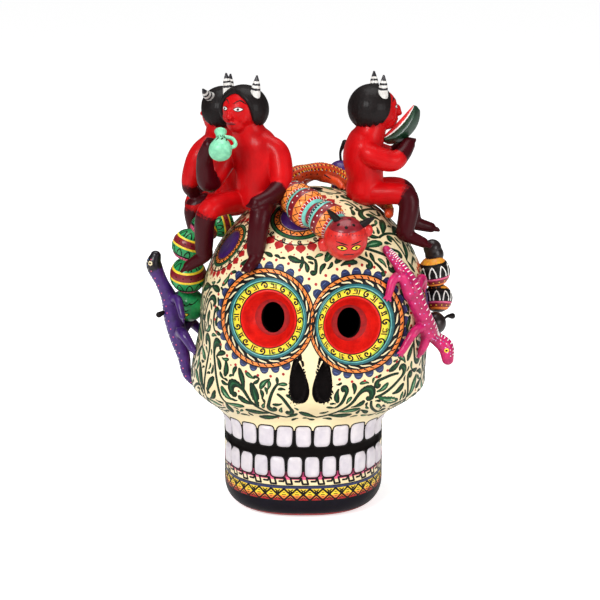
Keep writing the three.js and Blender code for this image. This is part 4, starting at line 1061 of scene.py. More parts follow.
# Sprays in pairs on the face: way from its middle in degrees, height, roll, length, bend, curl, leaf.
PAIRS = ((5, 59, 12, 44, 0.6, -4.2, 12), (30, 71, 8, 30, 0.5, 4.2, 12), (13, 149, 5, 44, -0.3, -4.2, 12),
         (52, 66, 76, 34, 0.4, -4.2, 11), (66, 92, 84, 40, 0.4, 4.0, 11), (8, 140, 60, 24, 0.4, -4.2, 10))
# Sprays at random: stem, leaf and the least scale. The last two are for the forehead alone.
SPRAYS = ((40, 12.0, 0.84), (30, 11.0, 0.7), (22, 9.5, 0.7), (17, 8.0, 0.8), (12, 6.5, 0.8))
# Loose leaves: length, and one in how many seeds is tried. They stand in fans: angle and share of the length.
LOOSE = ((10.0, 3), (8.0, 2), (6.4, 2), (5.0, 1), (3.8, 1), (2.8, 1))
FAN = ((0, 1), (0.75, 0.85), (-0.75, 0.85))
FACE_MIDDLE = -92


class Seeds:
    """Places on the skull's wall, each with its way round, its height and its room."""

    def __init__(self, ways):
        self.ways = ways
        self.places = np.array([wall(turn, z) for turn, z in ways])
        self.rooms = free_room(self.places)

    def open(self, least, every=1):
        """Goes through the seeds, leaving out those with too little room or on something painted."""
        for (turn, z), room, place in zip(self.ways[::every], self.rooms[::every], self.places[::every]):
            if room >= least and not taken[cells(place[None])][0]:
                yield turn, z, place


def seeds_all_over():
    ways = []
    for z in np.linspace(29, 169.5, 54):
        count = max(5, int(2 * math.pi * section(z)[0] / 2.7))
        offset = rng.random() * 360
        ways += [(offset + 360 * k / count, z) for k in range(count)]
    return Seeds([ways[i] for i in rng.permutation(len(ways))])


def loose_leaves(seeds, length, every=1):
    for turn, z, _ in seeds.open(0.5, every):
        if length > 6 and 48 < z < 62:
            continue
        start, bend = rng.random() * 2 * math.pi, rng.choice([-0.8, 0.8])
        fan = [((0, 0), start + a, length * share, bend) for a, share in FAN]
        leaf_row(Chart(turn, z), fan, (1.0,))


def fill_ground():
    wreath(LEFT_EYE, -60, -200, 32.8, 9.5)
    wreath(RIGHT_EYE, -120, 20, 32.8, 9.5)
    for off, z, roll, length, bend, curl, size in PAIRS:
        vine(FACE_MIDDLE + off, z, roll, length, bend, curl, size, 0.45)
        vine(FACE_MIDDLE - off, z, 180 - roll, length, -bend, -curl, size, 0.45)
    vine(-92, 98, 90, 20, 0.1, 0.2, 7.0, 0.45)
    vine(-93, 119, 96, 26, 0.4, 3.8, 8.0, 0.45)
    seeds = seeds_all_over()
    for length, size, least in SPRAYS:
        for turn, z, place in seeds.open(2.5):
            if 48 < z < 66 or (length < 20 and (place[1] > -5 or z < 112)):
                continue
            flip = rng.choice([-1, 1])
            roll = rng.random() * 360
            bend = flip * rng.uniform(0.3, 0.8)
            curl = flip * rng.uniform(3.6, 4.6)
            vine(turn, z, roll, length, bend, curl, size, least)
    # The forehead is seen most, so its leaves get more tries.
    brow = Seeds([(rng.uniform(-160, -20), rng.uniform(116, 170)) for _ in range(800)])
    for length, every in LOOSE:
        loose_leaves(brow, length)
        loose_leaves(seeds, length, every)
    for turn, z, _ in seeds.open(0.5):
        if rng.random() < 0.5:
            chart = Chart(turn, z)
            around = chart(np.array([[0, 0], [0.7, 0], [-0.7, 0], [0, 0.7], [0, -0.7]]), 0)
            if bare(around, 0.3):
                dot(bags["red"], chart, (0, 0), rng.uniform(0.5, 0.7), 0.14, 8)
                mark(around)


fill_ground()
for color, bag in bags.items():
    if bag.n:
        bag.mesh("skull_paint_" + color, color)


# Shapes for the figures.
def tube(line, wides, deeps=None, across=(0, 0, 1), sides=18, steps=28, end=0.8):
    """A round-ended limb along a line, wide across and deep the other way."""
    deeps = wides if deeps is None else deeps
    shares = np.linspace(0, 1, steps + 1)
    path = catmull(line, shares)
    girth = catmull(np.stack([wides, deeps], 1), shares)
    along = np.gradient(path, axis=0)
    along /= np.linalg.norm(along, axis=1, keepdims=True)
    a = circle(sides)

    def ring(i, slide):
        t = along[i]
        side = unit(np.asarray(across, float) - t * np.dot(across, t))
        front = np.cross(t, side)
        shrink = math.sqrt(1 - slide * slide)
        wide, deep = np.cos(a) * girth[i, 0] * shrink, np.sin(a) * girth[i, 1] * shrink
        return path[i] + t * slide * girth[i, 1] * end + np.outer(wide, side) + np.outer(deep, front)

    rows = [ring(0, -k) for k in (0.97, 0.85, 0.6, 0.3)]
    rows += [ring(i, 0) for i in range(steps + 1)]
    rows += [ring(steps, k) for k in (0.3, 0.6, 0.85, 0.97)]
    first = path[0] - along[0] * girth[0, 1] * end
    last = path[-1] + along[-1] * girth[-1, 1] * end
    return closed_grid(rows, first, last)


def stub(root, way, splay, girths, across):
    """A finger, toe or claw."""
    tip = root + way + splay
    return tube([root, (root + tip) / 2, tip], girths, None, across, 8, 8)


def ball(middle, radii, turn=0.0, sides=28, rows=18):
    a = circle(sides)
    c, s = cos_sin(turn)
    spin = np.array([[c, -s, 0], [s, c, 0], [0, 0, 1]])
    hoops = []
    for k in range(1, rows):
        tilt = -math.pi / 2 + math.pi * k / rows
        flat, high = math.cos(tilt), math.sin(tilt)
        p = np.stack([np.cos(a) * flat, np.sin(a) * flat, np.full(sides, high)], 1)
        hoops.append((p * radii) @ spin.T + middle)
    return closed_grid(hoops, (-UP * radii) @ spin.T + middle, (UP * radii) @ spin.T + middle)


def melt(name, shapes, voxel, rounds):
    """Joins shapes into one skin, as clay pressed together and wiped smooth."""
    points, faces, base = [], [], 0
    for p, f in shapes:
        points.append(np.asarray(p))
        faces += [tuple(i + base for i in face) for face in f]
        base += len(p)
    piece = plain_object(name, np.concatenate(points), faces)
    remesh = piece.modifiers.new("melt", "REMESH")
    remesh.mode = "VOXEL"
    remesh.voxel_size = voxel * MM
    remesh.use_smooth_shade = True
    wipe = piece.modifiers.new("wipe", "SMOOTH")
    wipe.iterations = rounds
    wipe.factor = 0.5
    bake(piece)
    smooth_faces(piece.data)
    return piece


def points_of(piece):
    flat = np.empty(len(piece.data.vertices) * 3)
    piece.data.vertices.foreach_get("co", flat)
    return flat.reshape(-1, 3) / MM


def shade(piece, values):
    layer = piece.data.attributes.new("shade", "FLOAT", "POINT")
    layer.data.foreach_set("value", np.asarray(values, float).tolist())


def tree_of(piece):
    points = [v.co for v in piece.data.vertices]
    return BVHTree.FromPolygons(points, [tuple(p.vertices) for p in piece.data.polygons])


def line_distance(p, line):
    """How far points are from a line of points, and how far along it, from 0 to 1."""
    fine = catmull(line, np.linspace(0, 1, 60))
    gaps = np.linalg.norm(p[:, None, :] - fine[None], axis=2)
    best = gaps.argmin(1)
    return gaps.min(1), best / 59.0


# Each devil's seat, the ways its face and chest look, and its joints in shares of its height, from the seat.
# dark is where each limb's dark paint begins and is full.
DEVILS = {
    "jug_devil": {
        "seat": on_skull(-164, 0.942), "face": -125, "chest": -127, "fringe": 18, "cap": 0.0,
        "dark": {"right_arm": (0.42, 0.5), "left_arm": (0.52, 0.64), "right_leg": (0.24, 0.32),
                 "left_leg": (0.1, 0.2)},
        "back": [[0.01, 0.02, 0.11], [0.01, 0, 0.25], [0.01, 0.02, 0.42], [-0.02, 0.03, 0.55],
                 [-0.06, 0.02, 0.66]],
        "head": [-0.1, 0, 0.84],
        "lean": (0.15, 0.15),
        "right_arm": [[-0.1, 0.09, 0.56], [-0.22, 0.12, 0.46], [-0.38, -0.06, 0.25], [-0.41, -0.19, 0.45],
                      [-0.36, -0.28, 0.59]],
        "left_arm": [[0.08, -0.05, 0.57], [0.19, -0.1, 0.48], [0.21, -0.22, 0.26], [0.12, -0.36, 0.18],
                     [0.01, -0.45, 0.14]],
        "right_leg": [[-0.1, 0.06, 0.08], [-0.38, -0.22, 0.04], [-0.43, -0.11, -0.28],
                      [-0.43, -0.09, -0.36], [-0.57, -0.08, -0.46]],
        "left_leg": [[0.08, -0.12, 0.08], [0.05, -0.44, 0.07], [0.01, -0.49, -0.22], [0.02, -0.5, -0.28],
                     [-0.04, -0.6, -0.34]],
    },
    "rear_devil": {
        "seat": on_skull(150, 0.884), "face": 150, "chest": 163, "fringe": 6, "cap": 0.0,
        "dark": {"right_arm": (0.55, 0.75), "left_arm": (0.6, 0.8), "right_leg": (0.22, 0.36),
                 "left_leg": (0.22, 0.36)},
        "back": [[-0.07, 0, 0.13], [-0.12, -0.02, 0.28], [-0.18, -0.03, 0.46], [-0.21, -0.03, 0.6],
                 [-0.21, -0.03, 0.72]],
        "head": [-0.19, -0.03, 0.92],
        "lean": (2.2, 0.2),
        "left_arm": [[-0.24, -0.1, 0.68], [-0.37, -0.19, 0.57], [-0.44, -0.2, 0.41], [-0.47, -0.19, 0.29],
                     [-0.44, -0.15, 0.23]],
        "right_arm": [[-0.22, 0.08, 0.67], [-0.34, 0.17, 0.56], [-0.44, 0.23, 0.36], [-0.48, 0.23, 0.28],
                      [-0.45, 0.2, 0.23]],
        "left_leg": [[-0.13, -0.09, 0.1], [-0.42, -0.13, 0.11], [-0.42, -0.12, -0.11],
                     [-0.42, -0.12, -0.18], [-0.51, -0.14, -0.22]],
        "right_leg": [[-0.1, 0.11, 0.1], [-0.44, 0.2, 0.1], [-0.42, 0.17, -0.14], [-0.42, 0.17, -0.2],
                      [-0.51, 0.17, -0.25]],
    },
    "melon_devil": {
        "seat": on_skull(-7, 0.956), "face": 12, "chest": 0, "fringe": 8, "cap": 0.03,
        "dark": {"right_arm": (0.62, 0.74), "left_arm": (0.62, 0.74), "right_leg": (0.16, 0.26),
                 "left_leg": (0.16, 0.26)},
        "back": [[-0.02, 0, 0.11], [-0.02, 0, 0.23], [-0.04, 0, 0.39], [-0.02, 0, 0.51], [0.02, 0, 0.61]],
        "head": [0.065, 0, 0.8],
        "lean": (0.15, 0.15),
        "right_arm": [[-0.03, -0.1, 0.5], [0.02, -0.17, 0.44], [0.19, -0.18, 0.39], [0.28, -0.13, 0.44],
                      [0.33, -0.06, 0.51]],
        "left_arm": [[-0.03, 0.1, 0.5], [0.02, 0.17, 0.43], [0.2, 0.2, 0.37], [0.28, 0.16, 0.44],
                     [0.32, 0.1, 0.5]],
        "right_leg": [[0.05, -0.1, 0.11], [0.32, -0.17, 0.09], [0.31, -0.22, -0.16], [0.3, -0.22, -0.21],
                      [0.46, -0.25, -0.28]],
        "left_leg": [[0.05, 0.1, 0.11], [0.31, 0.22, 0.08], [0.39, 0.22, -0.15], [0.4, 0.22, -0.2],
                     [0.56, 0.23, -0.25]],
    },
}
LIMBS = ("left_arm", "right_arm", "left_leg", "right_leg")
TORSO_WIDE = np.array([0.2, 0.19, 0.215, 0.22, 0.15, 0.11]) * DEVIL_H
TORSO_DEEP = np.array([0.165, 0.155, 0.17, 0.16, 0.13, 0.11]) * DEVIL_H
ARM = np.array([0.09, 0.1, 0.092, 0.07, 0.062]) * DEVIL_H
LEG = np.array([0.1, 0.092, 0.078, 0.064, 0.045]) * DEVIL_H
# Fingers and toes: what stands across them, their places, and then spacing, length, splay and girths in mm.
DIGITS = {
    "arm": ((0.2, 0.1, 1), (-1.2, -0.4, 0.4, 1.2), 1.5, 4.2, 0.4, [1.3, 1.2, 0.9]),
    "leg": ((0, 0, 1), (-1, 0, 1), 1.7, 4.0, 0.5, [1.5, 1.3, 1.0]),
}
# A head's lumps: ahead, aside and up, and radii, in shares of a devil's height.
LUMPS = (
    (0, 0, 0, (0.163, 0.178, 0.168)), (0.095, 0, -0.11, (0.083, 0.078, 0.068)),
    (0.18, 0, -0.02, (0.026, 0.034, 0.05)), (0.195, 0, -0.045, (0.035, 0.028, 0.022)),
    (0.1, -0.075, -0.055, (0.05, 0.05, 0.05)), (0.02, -0.165, -0.03, (0.03, 0.022, 0.045)),
    (0.1, 0.075, -0.055, (0.05, 0.05, 0.05)), (0.02, 0.165, -0.03, (0.03, 0.022, 0.045)),
    (0.165, 0, -0.088, (0.05, 0.022, 0.016)), (0.158, 0, -0.115, (0.042, 0.022, 0.016)),
)


def heading(turn):
    return np.array([*cos_sin(turn), 0.0])


def hair_cap(name, head, forward, left, fringe):
    """Cropped hair: thick over the crown, cut back from the face and ragged at the nape."""
    around = np.linspace(-math.pi, math.pi, 120, endpoint=False)
    edge_at = np.radians([0, 18, 36, 48, 56, 66, 80, 100, 140, 180])
    edge = np.interp(np.abs(around), edge_at, np.radians([34, 32, 22, 8, -14, -30, -38, -42, -46, -48]))
    edge = edge + math.radians(fringe) * np.clip(1 - np.abs(around) / math.radians(62), 0, 1) ** 0.5
    ragged = np.clip((np.abs(around) - math.radians(58)) / 0.4, 0, 1)
    tufts = np.sin(around * 17 + 0.6 * np.sin(around * 5)) * np.where(np.sin(around * 31) > 0, 1, 0.5)
    edge = edge + ragged * np.radians(5) * tufts
    shell = []
    for thick in (1.0, 0.0):
        shares = np.linspace(0.06, 1, 16)
        for share in (shares if thick else shares[::-1]):
            rise = math.pi / 2 - (math.pi / 2 - edge) * share
            strand = 0.0006 * np.sin(around * 31 + 2.2 * share) + 0.0006 * np.sin(around * 53 - 3 * share)
            rim = np.sqrt(np.clip(1 - share**10, 0, 1))
            over = (0.017 + 0.016 * rim + strand * min(1, share * 2)) * thick - 0.012 * (1 - thick)
            p = np.outer(np.cos(rise) * np.cos(around) * (0.165 + over) - 0.008 * thick, forward)
            p = p + np.outer(np.cos(rise) * np.sin(around) * (0.18 + over), left)
            shell.append(head + (p + np.outer(np.sin(rise) * (0.17 + over), UP)) * DEVIL_H)
    return plain_object(name, *closed_grid(shell, head + UP * 0.203 * DEVIL_H, head + UP * 0.158 * DEVIL_H))


def paint_face(name, body, head, forward):
    """Eyes, brows and lips, painted on a finished head."""
    h = DEVIL_H
    chart = Hit(tree_of(body), head + forward * 0.1 * h, -forward)
    face = {color: Bag() for color in ("white", "black", "maroon")}
    for side in (-1, 1):
        x = 0.066 * side * h
        c = (x, 0.02 * h)
        almond(face["black"], chart, c, 2.5, 1.45, 0.08)
        almond(face["white"], chart, c, 2.1, 1.1, 0.15)
        dot(face["black"], chart, c, 0.85, 0.24, 10)
        brow = resample([(x - 2.9, 0.062 * h), (x, 0.09 * h), (x + 2.9, 0.062 * h)], 7)
        stroke(face["black"], chart, brow, [0.25, 0.5, 0.65, 0.7, 0.65, 0.5, 0.25], 0.15)
    lips = [(-2.7, -0.1 * h), (-1.2, -0.094 * h), (0, -0.099 * h), (1.2, -0.094 * h), (2.7, -0.1 * h)]
    stroke(face["maroon"], chart, resample(lips, 9), [0.5, 1.0, 1.4, 1.5, 1.5, 1.5, 1.4, 1.0, 0.5], 0.12)
    mouth = [(-2.5, -0.102 * h), (0, -0.105 * h), (2.5, -0.102 * h)]
    stroke(face["black"], chart, resample(mouth, 7), 0.32, 0.2)
    for color, label in (("white", "white"), ("black", "black"), ("maroon", "red")):
        face[color].mesh(f"{name}_face_{label}", color, "devil_red")


def horn(name, root, lean, forward):
    long = DEVIL_H * 0.155
    wide = DEVIL_H * 0.045
    bend = root + lean * long * 0.6
    line = [root, bend, bend + lean * long * 0.35 + UP * long * 0.15]
    spike = tube(line, np.array([1.0, 0.75, 0.2]) * wide, None, forward, 16, 20)
    piece = melt(name + "_clay", [spike], 0.22, 1)
    _, share = line_distance(points_of(piece), line)
    bands = ((share > 0.3) & (share < 0.4)) | ((share > 0.52) & (share < 0.62)) | (share > 0.74)
    shade(piece, bands * 1.0)
    dress(piece, "horn", "horn_white", name)


def devil(name, pose):
    """A seated devil: one skin for its body, hair, two horns and a painted face."""

    def at(share):
        return pose["seat"] + np.asarray(share) * DEVIL_H

    across = np.cross((0, 0, 1), heading(pose["chest"]))
    forward = heading(pose["face"])
    left = np.cross((0, 0, 1), forward)
    head = at(pose["head"])
    spine = [at(p) for p in pose["back"]] + [head]
    shapes = [tube(spine, TORSO_WIDE * 0.98, TORSO_DEEP * 0.98, across, 30, 40, 0.75)]
    limbs = {limb: np.array([at(p) for p in pose[limb]]) for limb in LIMBS}
    for limb, line in limbs.items():
        shapes.append(tube(line, (LEG if "leg" in limb else ARM) * 0.97, None, across, 20, 30))
        way = unit(line[-1] - line[-2])
        upright, places, apart, long, splay, girths = DIGITS[limb[-3:]]
        side = unit(np.cross(way, upright))
        for k in places:
            shapes.append(stub(line[-1] + side * k * apart, way * long, side * k * splay, girths, side))
    for ahead, aside, rise, radii in LUMPS:
        middle = head + (forward * ahead + left * aside + np.array([0, 0, rise])) * DEVIL_H
        shapes.append(ball(middle, np.array(radii) * DEVIL_H, pose["face"] + 90))
    body = melt(name + "_body", shapes, 0.55, 5)
    p = points_of(body)
    dark = np.zeros(len(p))
    for limb, line in limbs.items():
        gap, share = line_distance(p, line)
        start, full = pose["dark"][limb]
        near = np.clip((8.6 - gap) / 1.6, 0, 1)
        dark = np.maximum(dark, near * np.clip((share - start) / (full - start), 0, 1))
    shade(body, dark * (np.linalg.norm(p - head, axis=1) > 0.24 * DEVIL_H))
    dress(body, "skin", "devil_red", *[f"{name}_{part}" for part in ("torso", "head", *LIMBS)])
    hair = hair_cap(name + "_locks", head - forward * pose["cap"] * DEVIL_H, forward, left, pose["fringe"])
    dress(hair, "hair", "hair_black", name + "_hair")
    for label, side, lean in (("left", 1, pose["lean"][0]), ("right", -1, pose["lean"][1])):
        root = head + (left * side * 0.135 + forward * 0.02 + UP * 0.115) * DEVIL_H
        horn(f"{name}_{label}_horn", root, unit(UP + left * side * lean), forward)
    paint_face(name, body, head, forward)
    return at


anchors = {name: devil(name, pose) for name, pose in DEVILS.items()}

# The jug: its outline as radius and height in shares of its own, from the foot up and over the lip.
JUG_R, JUG_H = 5.8, 16
JUG_OUTLINE = ((0.4, 0.0), (0.84, 0.0), (0.9, 0.02), (1.0, 0.1), (1.03, 0.2), (0.98, 0.32), (0.84, 0.45),
               (0.66, 0.55), (0.47, 0.65), (0.4, 0.73), (0.42, 0.84), (0.5, 0.94), (0.56, 1.0), (0.5, 1.01),
               (0.4, 0.97), (0.3, 0.88), (0.25, 0.8))


def build_jug(at):
    foot = at([-0.27, -0.45, 0.535])
    aim = unit(at([-0.275, -0.25, 0.7]) - foot)
    side = unit(np.cross(aim, (0, 0, 1)))
    front = np.cross(aim, side)
    a = circle(48)
    rows = []
    for r, high in JUG_OUTLINE:
        level = foot + aim * high * JUG_H + np.outer(np.cos(a) * r * JUG_R, side)
        rows.append(level + np.outer(np.sin(a) * r * JUG_R, front))
    jug = plain_object("jug_clay", *closed_grid(rows, foot, foot + aim * 0.8 * JUG_H))
    dress(jug, "jug", "jug_green", "jug")
    turns = ((0.8, 0.28), (1.32, 0.42), (1.1, 0.68), (0.4, 0.78))
    grip = [foot + side * r * JUG_R + aim * high * JUG_H for r, high in turns]
    handle = plain_object("jug_handle", *tube(grip, np.full(4, 1.0), None, np.cross(aim, side), 12, 20))
    radii, heights = zip(*JUG_OUTLINE[2:14])

    def skin(way, low, high, swing):
        """The jug's side as a sheet: across in fifths of a radian, and from 0 to 1 between two heights."""

        def chart(uv, lift):
            uv = np.asarray(uv)
            rise = low + (high - low) * uv[:, 1]
            r = np.interp(rise, heights, radii) * JUG_R + np.asarray(lift)
            turn = way + swing * uv[:, 1] + uv[:, 0] / 5.0
            level = foot + np.outer(rise * JUG_H, aim)
            return level + np.outer(np.cos(turn) * r, side) + np.outer(np.sin(turn) * r, front)

        return chart

    marks = Bag()
    for way in spokes(13):
        for low, high, swing in ((0.36, 0.5, 0.16), (0.56, 0.7, -0.16)):
            chart = skin(way, low, high, swing)
            stroke(marks, chart, [(0, 0.0), (0.1, 0.5), (0.0, 1.0)], [0.6, 1.0, 0.6], 0.15)
    marks.mesh("jug_marks", "black", "jug_green")
    dress(handle, "jug", "jug_green")


def build_melon(at):
    """A slice of melon in three layers, whose back leans over."""
    start, end = at([0.14, 0.01, 0.54]), at([0.385, 0.01, 0.8])
    middle = (start + end) / 2
    slope = math.atan2(end[2] - start[2], end[0] - start[0])
    ex = np.array([math.cos(slope), 0, math.sin(slope)])
    ez = np.array([-math.sin(slope), 0, math.cos(slope)])
    cos_lean, sin_lean = cos_sin(38)
    ez = ez * cos_lean + np.array([0, sin_lean, 0])
    ew = np.cross(ez, ex)
    t = np.linspace(-1, 1, 41)
    rind = np.stack([t * 13.0, -7.4 * (1 - np.abs(t) ** 2.2) ** 0.8], 1)
    edge = np.stack([t * 13.0, -1.35 * (1 - t * t)], 1)

    def layer(scale_out, scale_in, thick, name, color, *nodes):
        low = edge + (rind - edge) * scale_out
        high = edge + (rind - edge) * scale_in
        rows = []
        for i in range(1, 40):
            corners = ((low[i], 1), (high[i], 1), (high[i], -1), (low[i], -1))
            rows.append(np.array([middle + ex * p[0] + ez * p[1] + ew * w * thick / 2 for p, w in corners]))
        piece = plain_object(name, *closed_grid(rows, middle + ex * low[0][0], middle + ex * low[-1][0]))
        bevel = piece.modifiers.new("soft", "BEVEL")
        bevel.width = 0.5 * MM
        bevel.segments = 2
        bevel.limit_method = "ANGLE"
        bake(piece)
        smooth_faces(piece.data)
        piece.data.set_sharp_from_angle(angle=math.radians(50))
        dress(piece, color, "rind_green", *nodes)

    layer(1.0, 0.34, 7.6, "melon_rind", "rind", "melon_slice")
    layer(0.4, 0.2, 7.2, "melon_pith", "white")
    layer(0.26, -0.2, 6.6, "melon_flesh", "flesh")


build_jug(anchors["jug_devil"])
build_melon(anchors["melon_devil"])


# The grubs.
class Girdle:
    """A bead's skin: (angle round its axis in radians, way along it from -1 to 1)."""

    def __init__(self, middle, radius, axis):
        self.o, self.r = np.asarray(middle), radius
        self.w = unit(axis)
        other = (0, 0, 1) if abs(self.w[2]) < 0.9 else (0, 1, 0)
        self.u = unit(np.cross(other, self.w))
        self.v = np.cross(self.w, self.u)

    def __call__(self, uv, lift):
        uv = np.asarray(uv, float)
        tilt = np.clip(uv[:, 1], -1, 1) * math.pi / 2
        r = self.r + np.asarray(lift, float).reshape(-1)
        ring = np.cos(tilt)
        out = np.outer(np.cos(uv[:, 0]) * ring * r, self.u) + np.outer(np.sin(uv[:, 0]) * ring * r, self.v)
        return self.o + out + np.outer(np.sin(tilt) * r, self.w)

    def flat(self, level):
        """The millimetres in a step round and along at a level, and the skin there as a flat sheet."""
        scale = [max(0.2, math.cos(level * math.pi / 2)) * self.r, math.pi / 2 * self.r]
        return scale, lambda uv, lift: self(np.asarray(uv) / scale, lift)


def hoop(bag, chart, low, high, lift=0.12, seg=64, rows=3):
    u, v = np.meshgrid(np.linspace(0, 2 * math.pi, seg + 1), np.linspace(low, high, rows + 1))
    lifts = np.where((v <= low) | (v >= high), -0.05, lift).reshape(-1)
    bag.add(chart(np.stack([u.reshape(-1), v.reshape(-1)], 1), lifts), grid_faces(seg, rows))


def girdle_stroke(bag, chart, line, width):
    """A stroke on a bead, its width in millimetres."""
    line = np.asarray(line)
    scale, flat_sheet = chart.flat(float(np.mean(line[:, 1])))
    stroke(bag, flat_sheet, line * scale, width, 0.2)


def girdle_dots(bag, chart, level, count):
    scale, flat_sheet = chart.flat(level)
    for a in spokes(count):
        dot(bag, flat_sheet, (a * scale[0], level * scale[1]), 0.5, 0.18, 8)


def zigzag(bag, chart, low, high, count):
    points = np.array([(math.pi * k / count, low if k % 2 else high) for k in range(count * 2 + 1)])
    t = np.linspace(0, 1, 4)[:, None]
    for a, b in zip(points[:-1], points[1:]):
        girdle_stroke(bag, chart, a * (1 - t) + b * t, 0.5)


def bead_chain(shares, radius):
    return [(on_skull(t, h, radius * lift), radius * size) for t, h, lift, size in shares]


def chain_body(name, beads, color, slot, node, voxel=0.45):
    piece = melt(name, [ball(m, np.full(3, r)) for m, r in beads], voxel, 2)
    dress(piece, color, slot, node)
    return piece


# Beads: way round, height in shares of the skull's, lift and size in shares of the grub's radius.
CENTRE_BODY = bead_chain([(-110, 0.968, 0.5, 0.9), (-96, 0.943, 0.72, 1), (-84, 0.915, 0.78, 0.93)], 10.2)
CENTRE_HEAD = bead_chain([(-76, 0.868, 0.95, 1.1)], 10.2)
GREEN_BODY = bead_chain([(174, 0.862, 0.5, 0.72), (177, 0.835, 1.12, 0.8), (179, 0.782, 1.45, 0.9),
                         (176, 0.702, 0.95, 1.02)], 9.8)
GREEN_HEAD = bead_chain([(171, 0.605, 0.84, 0.95)], 9.8)
BLACK_BODY = bead_chain([(0, 0.723, 0.72, 1), (0, 0.643, 0.66, 0.92)], 8.6)
BLACK_HEAD = bead_chain([(-5, 0.578, 0.4, 0.72)], 8.6)
BLACK_TAIL = bead_chain([(2, 0.765, 1.08, 0.6), (2, 0.782, 1.12, 0.58)], 8.6)
PURPLE_BODY = bead_chain([(69, 0.9, 1.1, 1), (70, 0.855, 0.9, 1.02), (71, 0.795, 0.86, 0.95)], 7.6)
PURPLE_HEAD = bead_chain([(69, 0.935, 1.75, 1)], 7.6)

figure_bags = {}


def fig(figure, color):
    return figure_bags.setdefault((figure, color), Bag())


def striped_bead(figure, middle, radius, axis, plan):
    """Paints a bead from back to front. A plan row is colour, low, high and what is drawn on it."""
    chart = Girdle(middle, radius, axis)
    for color, low, high, drawn, ink, amount in plan:
        hoop(fig(figure, color), chart, low, high)
        mid = (low + high) / 2
        if drawn == "zigzag":
            zigzag(fig(figure, ink), chart, low + 0.04, high - 0.04, amount)
        if drawn == "dots":
            girdle_dots(fig(figure, ink), chart, mid, amount)
        for a in spokes(amount):
            if drawn == "arches":
                wide = math.pi / amount * 0.66
                foot, knee, top = high - 0.05, mid, low + 0.05
                line = [(a - wide, foot), (a - wide * 0.8, knee), (a, top), (a + wide * 0.8, knee),
                        (a + wide, foot)]
                girdle_stroke(fig(figure, ink), chart, resample(line, 11), 0.8)
            if drawn == "ticks":
                girdle_stroke(fig(figure, ink), chart, [(a, low + 0.02), (a, mid), (a, high - 0.02)], 0.45)


TEAL_PLAN = [
    ("yellow", -0.72, -0.42, "zigzag", "brown", 13), ("black", -0.42, -0.32, "ticks", "white", 30),
    ("aqua", -0.32, -0.2, None, None, 0), ("maroon", -0.2, 0.08, "dots", "white", 16),
    ("orange", 0.08, 0.32, "zigzag", "black", 14), ("red", 0.32, 0.42, "ticks", "white", 28),
    ("aqua", 0.42, 0.54, None, None, 0), ("maroon", 0.54, 0.72, "dots", "pink", 12),
]
GREEN_PLAN = [
    ("bead_green", -0.75, -0.4, "arches", "black", 9), ("yellow", -0.4, -0.32, None, None, 0),
    ("maroon", -0.32, -0.05, "dots", "black", 14), ("yellow", -0.05, 0.03, None, None, 0),
    ("bead_green", 0.03, 0.36, "arches", "black", 11), ("black", 0.36, 0.46, None, None, 0),
    ("pink", 0.46, 0.66, "ticks", "maroon", 26),
]
BLACK_PLAN = [
    ("gold", -0.75, -0.42, "ticks", "orange", 14), ("black", -0.42, -0.3, None, None, 0),
    ("black", -0.34, 0.18, "arches", "white", 9), ("pink", 0.18, 0.26, None, None, 0),
    ("maroon", 0.26, 0.46, "dots", "yellow", 14), ("orange", 0.46, 0.62, None, None, 0),
]
PURPLE_PLAN = [
    ("purple", -0.72, -0.35, "dots", "pink", 12), ("yellow", -0.35, -0.25, None, None, 0),
    ("violet", -0.25, 0.2, "zigzag", "aqua", 12), ("orange", 0.2, 0.32, "ticks", "black", 20),
    ("purple", 0.32, 0.7, "dots", "white", 12),
]
# Each grub's beads and head, the paint and slot of both, and the plan of its beads.
CHAINS = (
    ("centre_grub", CENTRE_BODY, CENTRE_HEAD, "teal", "bead_teal", "head_red", "devil_red", TEAL_PLAN),
    ("green_grub", GREEN_BODY, GREEN_HEAD, "bead_green", "bead_green", "bead_green", "bead_green",
     GREEN_PLAN),
    ("black_grub", BLACK_BODY, BLACK_HEAD, "bead_black", "bead_gold", "bead_black", "bead_black",
     BLACK_PLAN),
    ("purple_grub", PURPLE_BODY, PURPLE_HEAD, "violet", "purple", "violet", "purple", PURPLE_PLAN),
)
grub_faces = {}
for name, body, head, color, slot, head_color, head_slot, plan in CHAINS:
    chain_body(name + "_beads", body, color, slot, name + "_body")
    middles = [middle for middle, _ in body + head]
    for i, (middle, radius) in enumerate(body):
        striped_bead(name, middle, radius, middles[i + 1] - middles[max(0, i - 1)], plan)
    grub_faces[name] = chain_body(name + "_face", head, head_color, head_slot, name + "_head", 0.4)
chain_body("black_grub_end", BLACK_TAIL, "bead_black", "bead_black", "black_grub_tail")


def eyes_on(figure, chart, spread, high, size, mouth):
    for side in (-1, 1):
        c = (side * spread, high)
        almond(fig(figure, "black"), chart, c, size * 1.45, size * 0.95, 0.1, 0.12 * side)
        almond(fig(figure, "yellow"), chart, c, size * 1.15, size * 0.68, 0.18, 0.12 * side)
        dot(fig(figure, "black"), chart, c, size * 0.48, 0.26, 12)
        brow = [(c[0] + side * t * size * 1.5, c[1] + size * (1.25 + 0.4 * t))
                for t in np.linspace(-1, 1, 9)]
        stroke(fig(figure, "black"), chart, brow, [0.2, 0.5, 0.6, 0.7, 0.7, 0.7, 0.6, 0.5, 0.2], 0.16)
    for color, wide, width, lift in (("maroon", 2.2, 1.1, 0.13), ("black", 2.4, 0.45, 0.2)):
        line = [(x, mouth - 0.04 * x * x) for x in np.linspace(-wide, wide, 9)]
        stroke(fig(figure, color), chart, line, width, lift)


def head_chart(figure, head, look, up=(0, 0, 1)):
    middle, radius = head[0]
    return Hit(tree_of(grub_faces[figure]), middle, -unit(look), up, radius * 2)


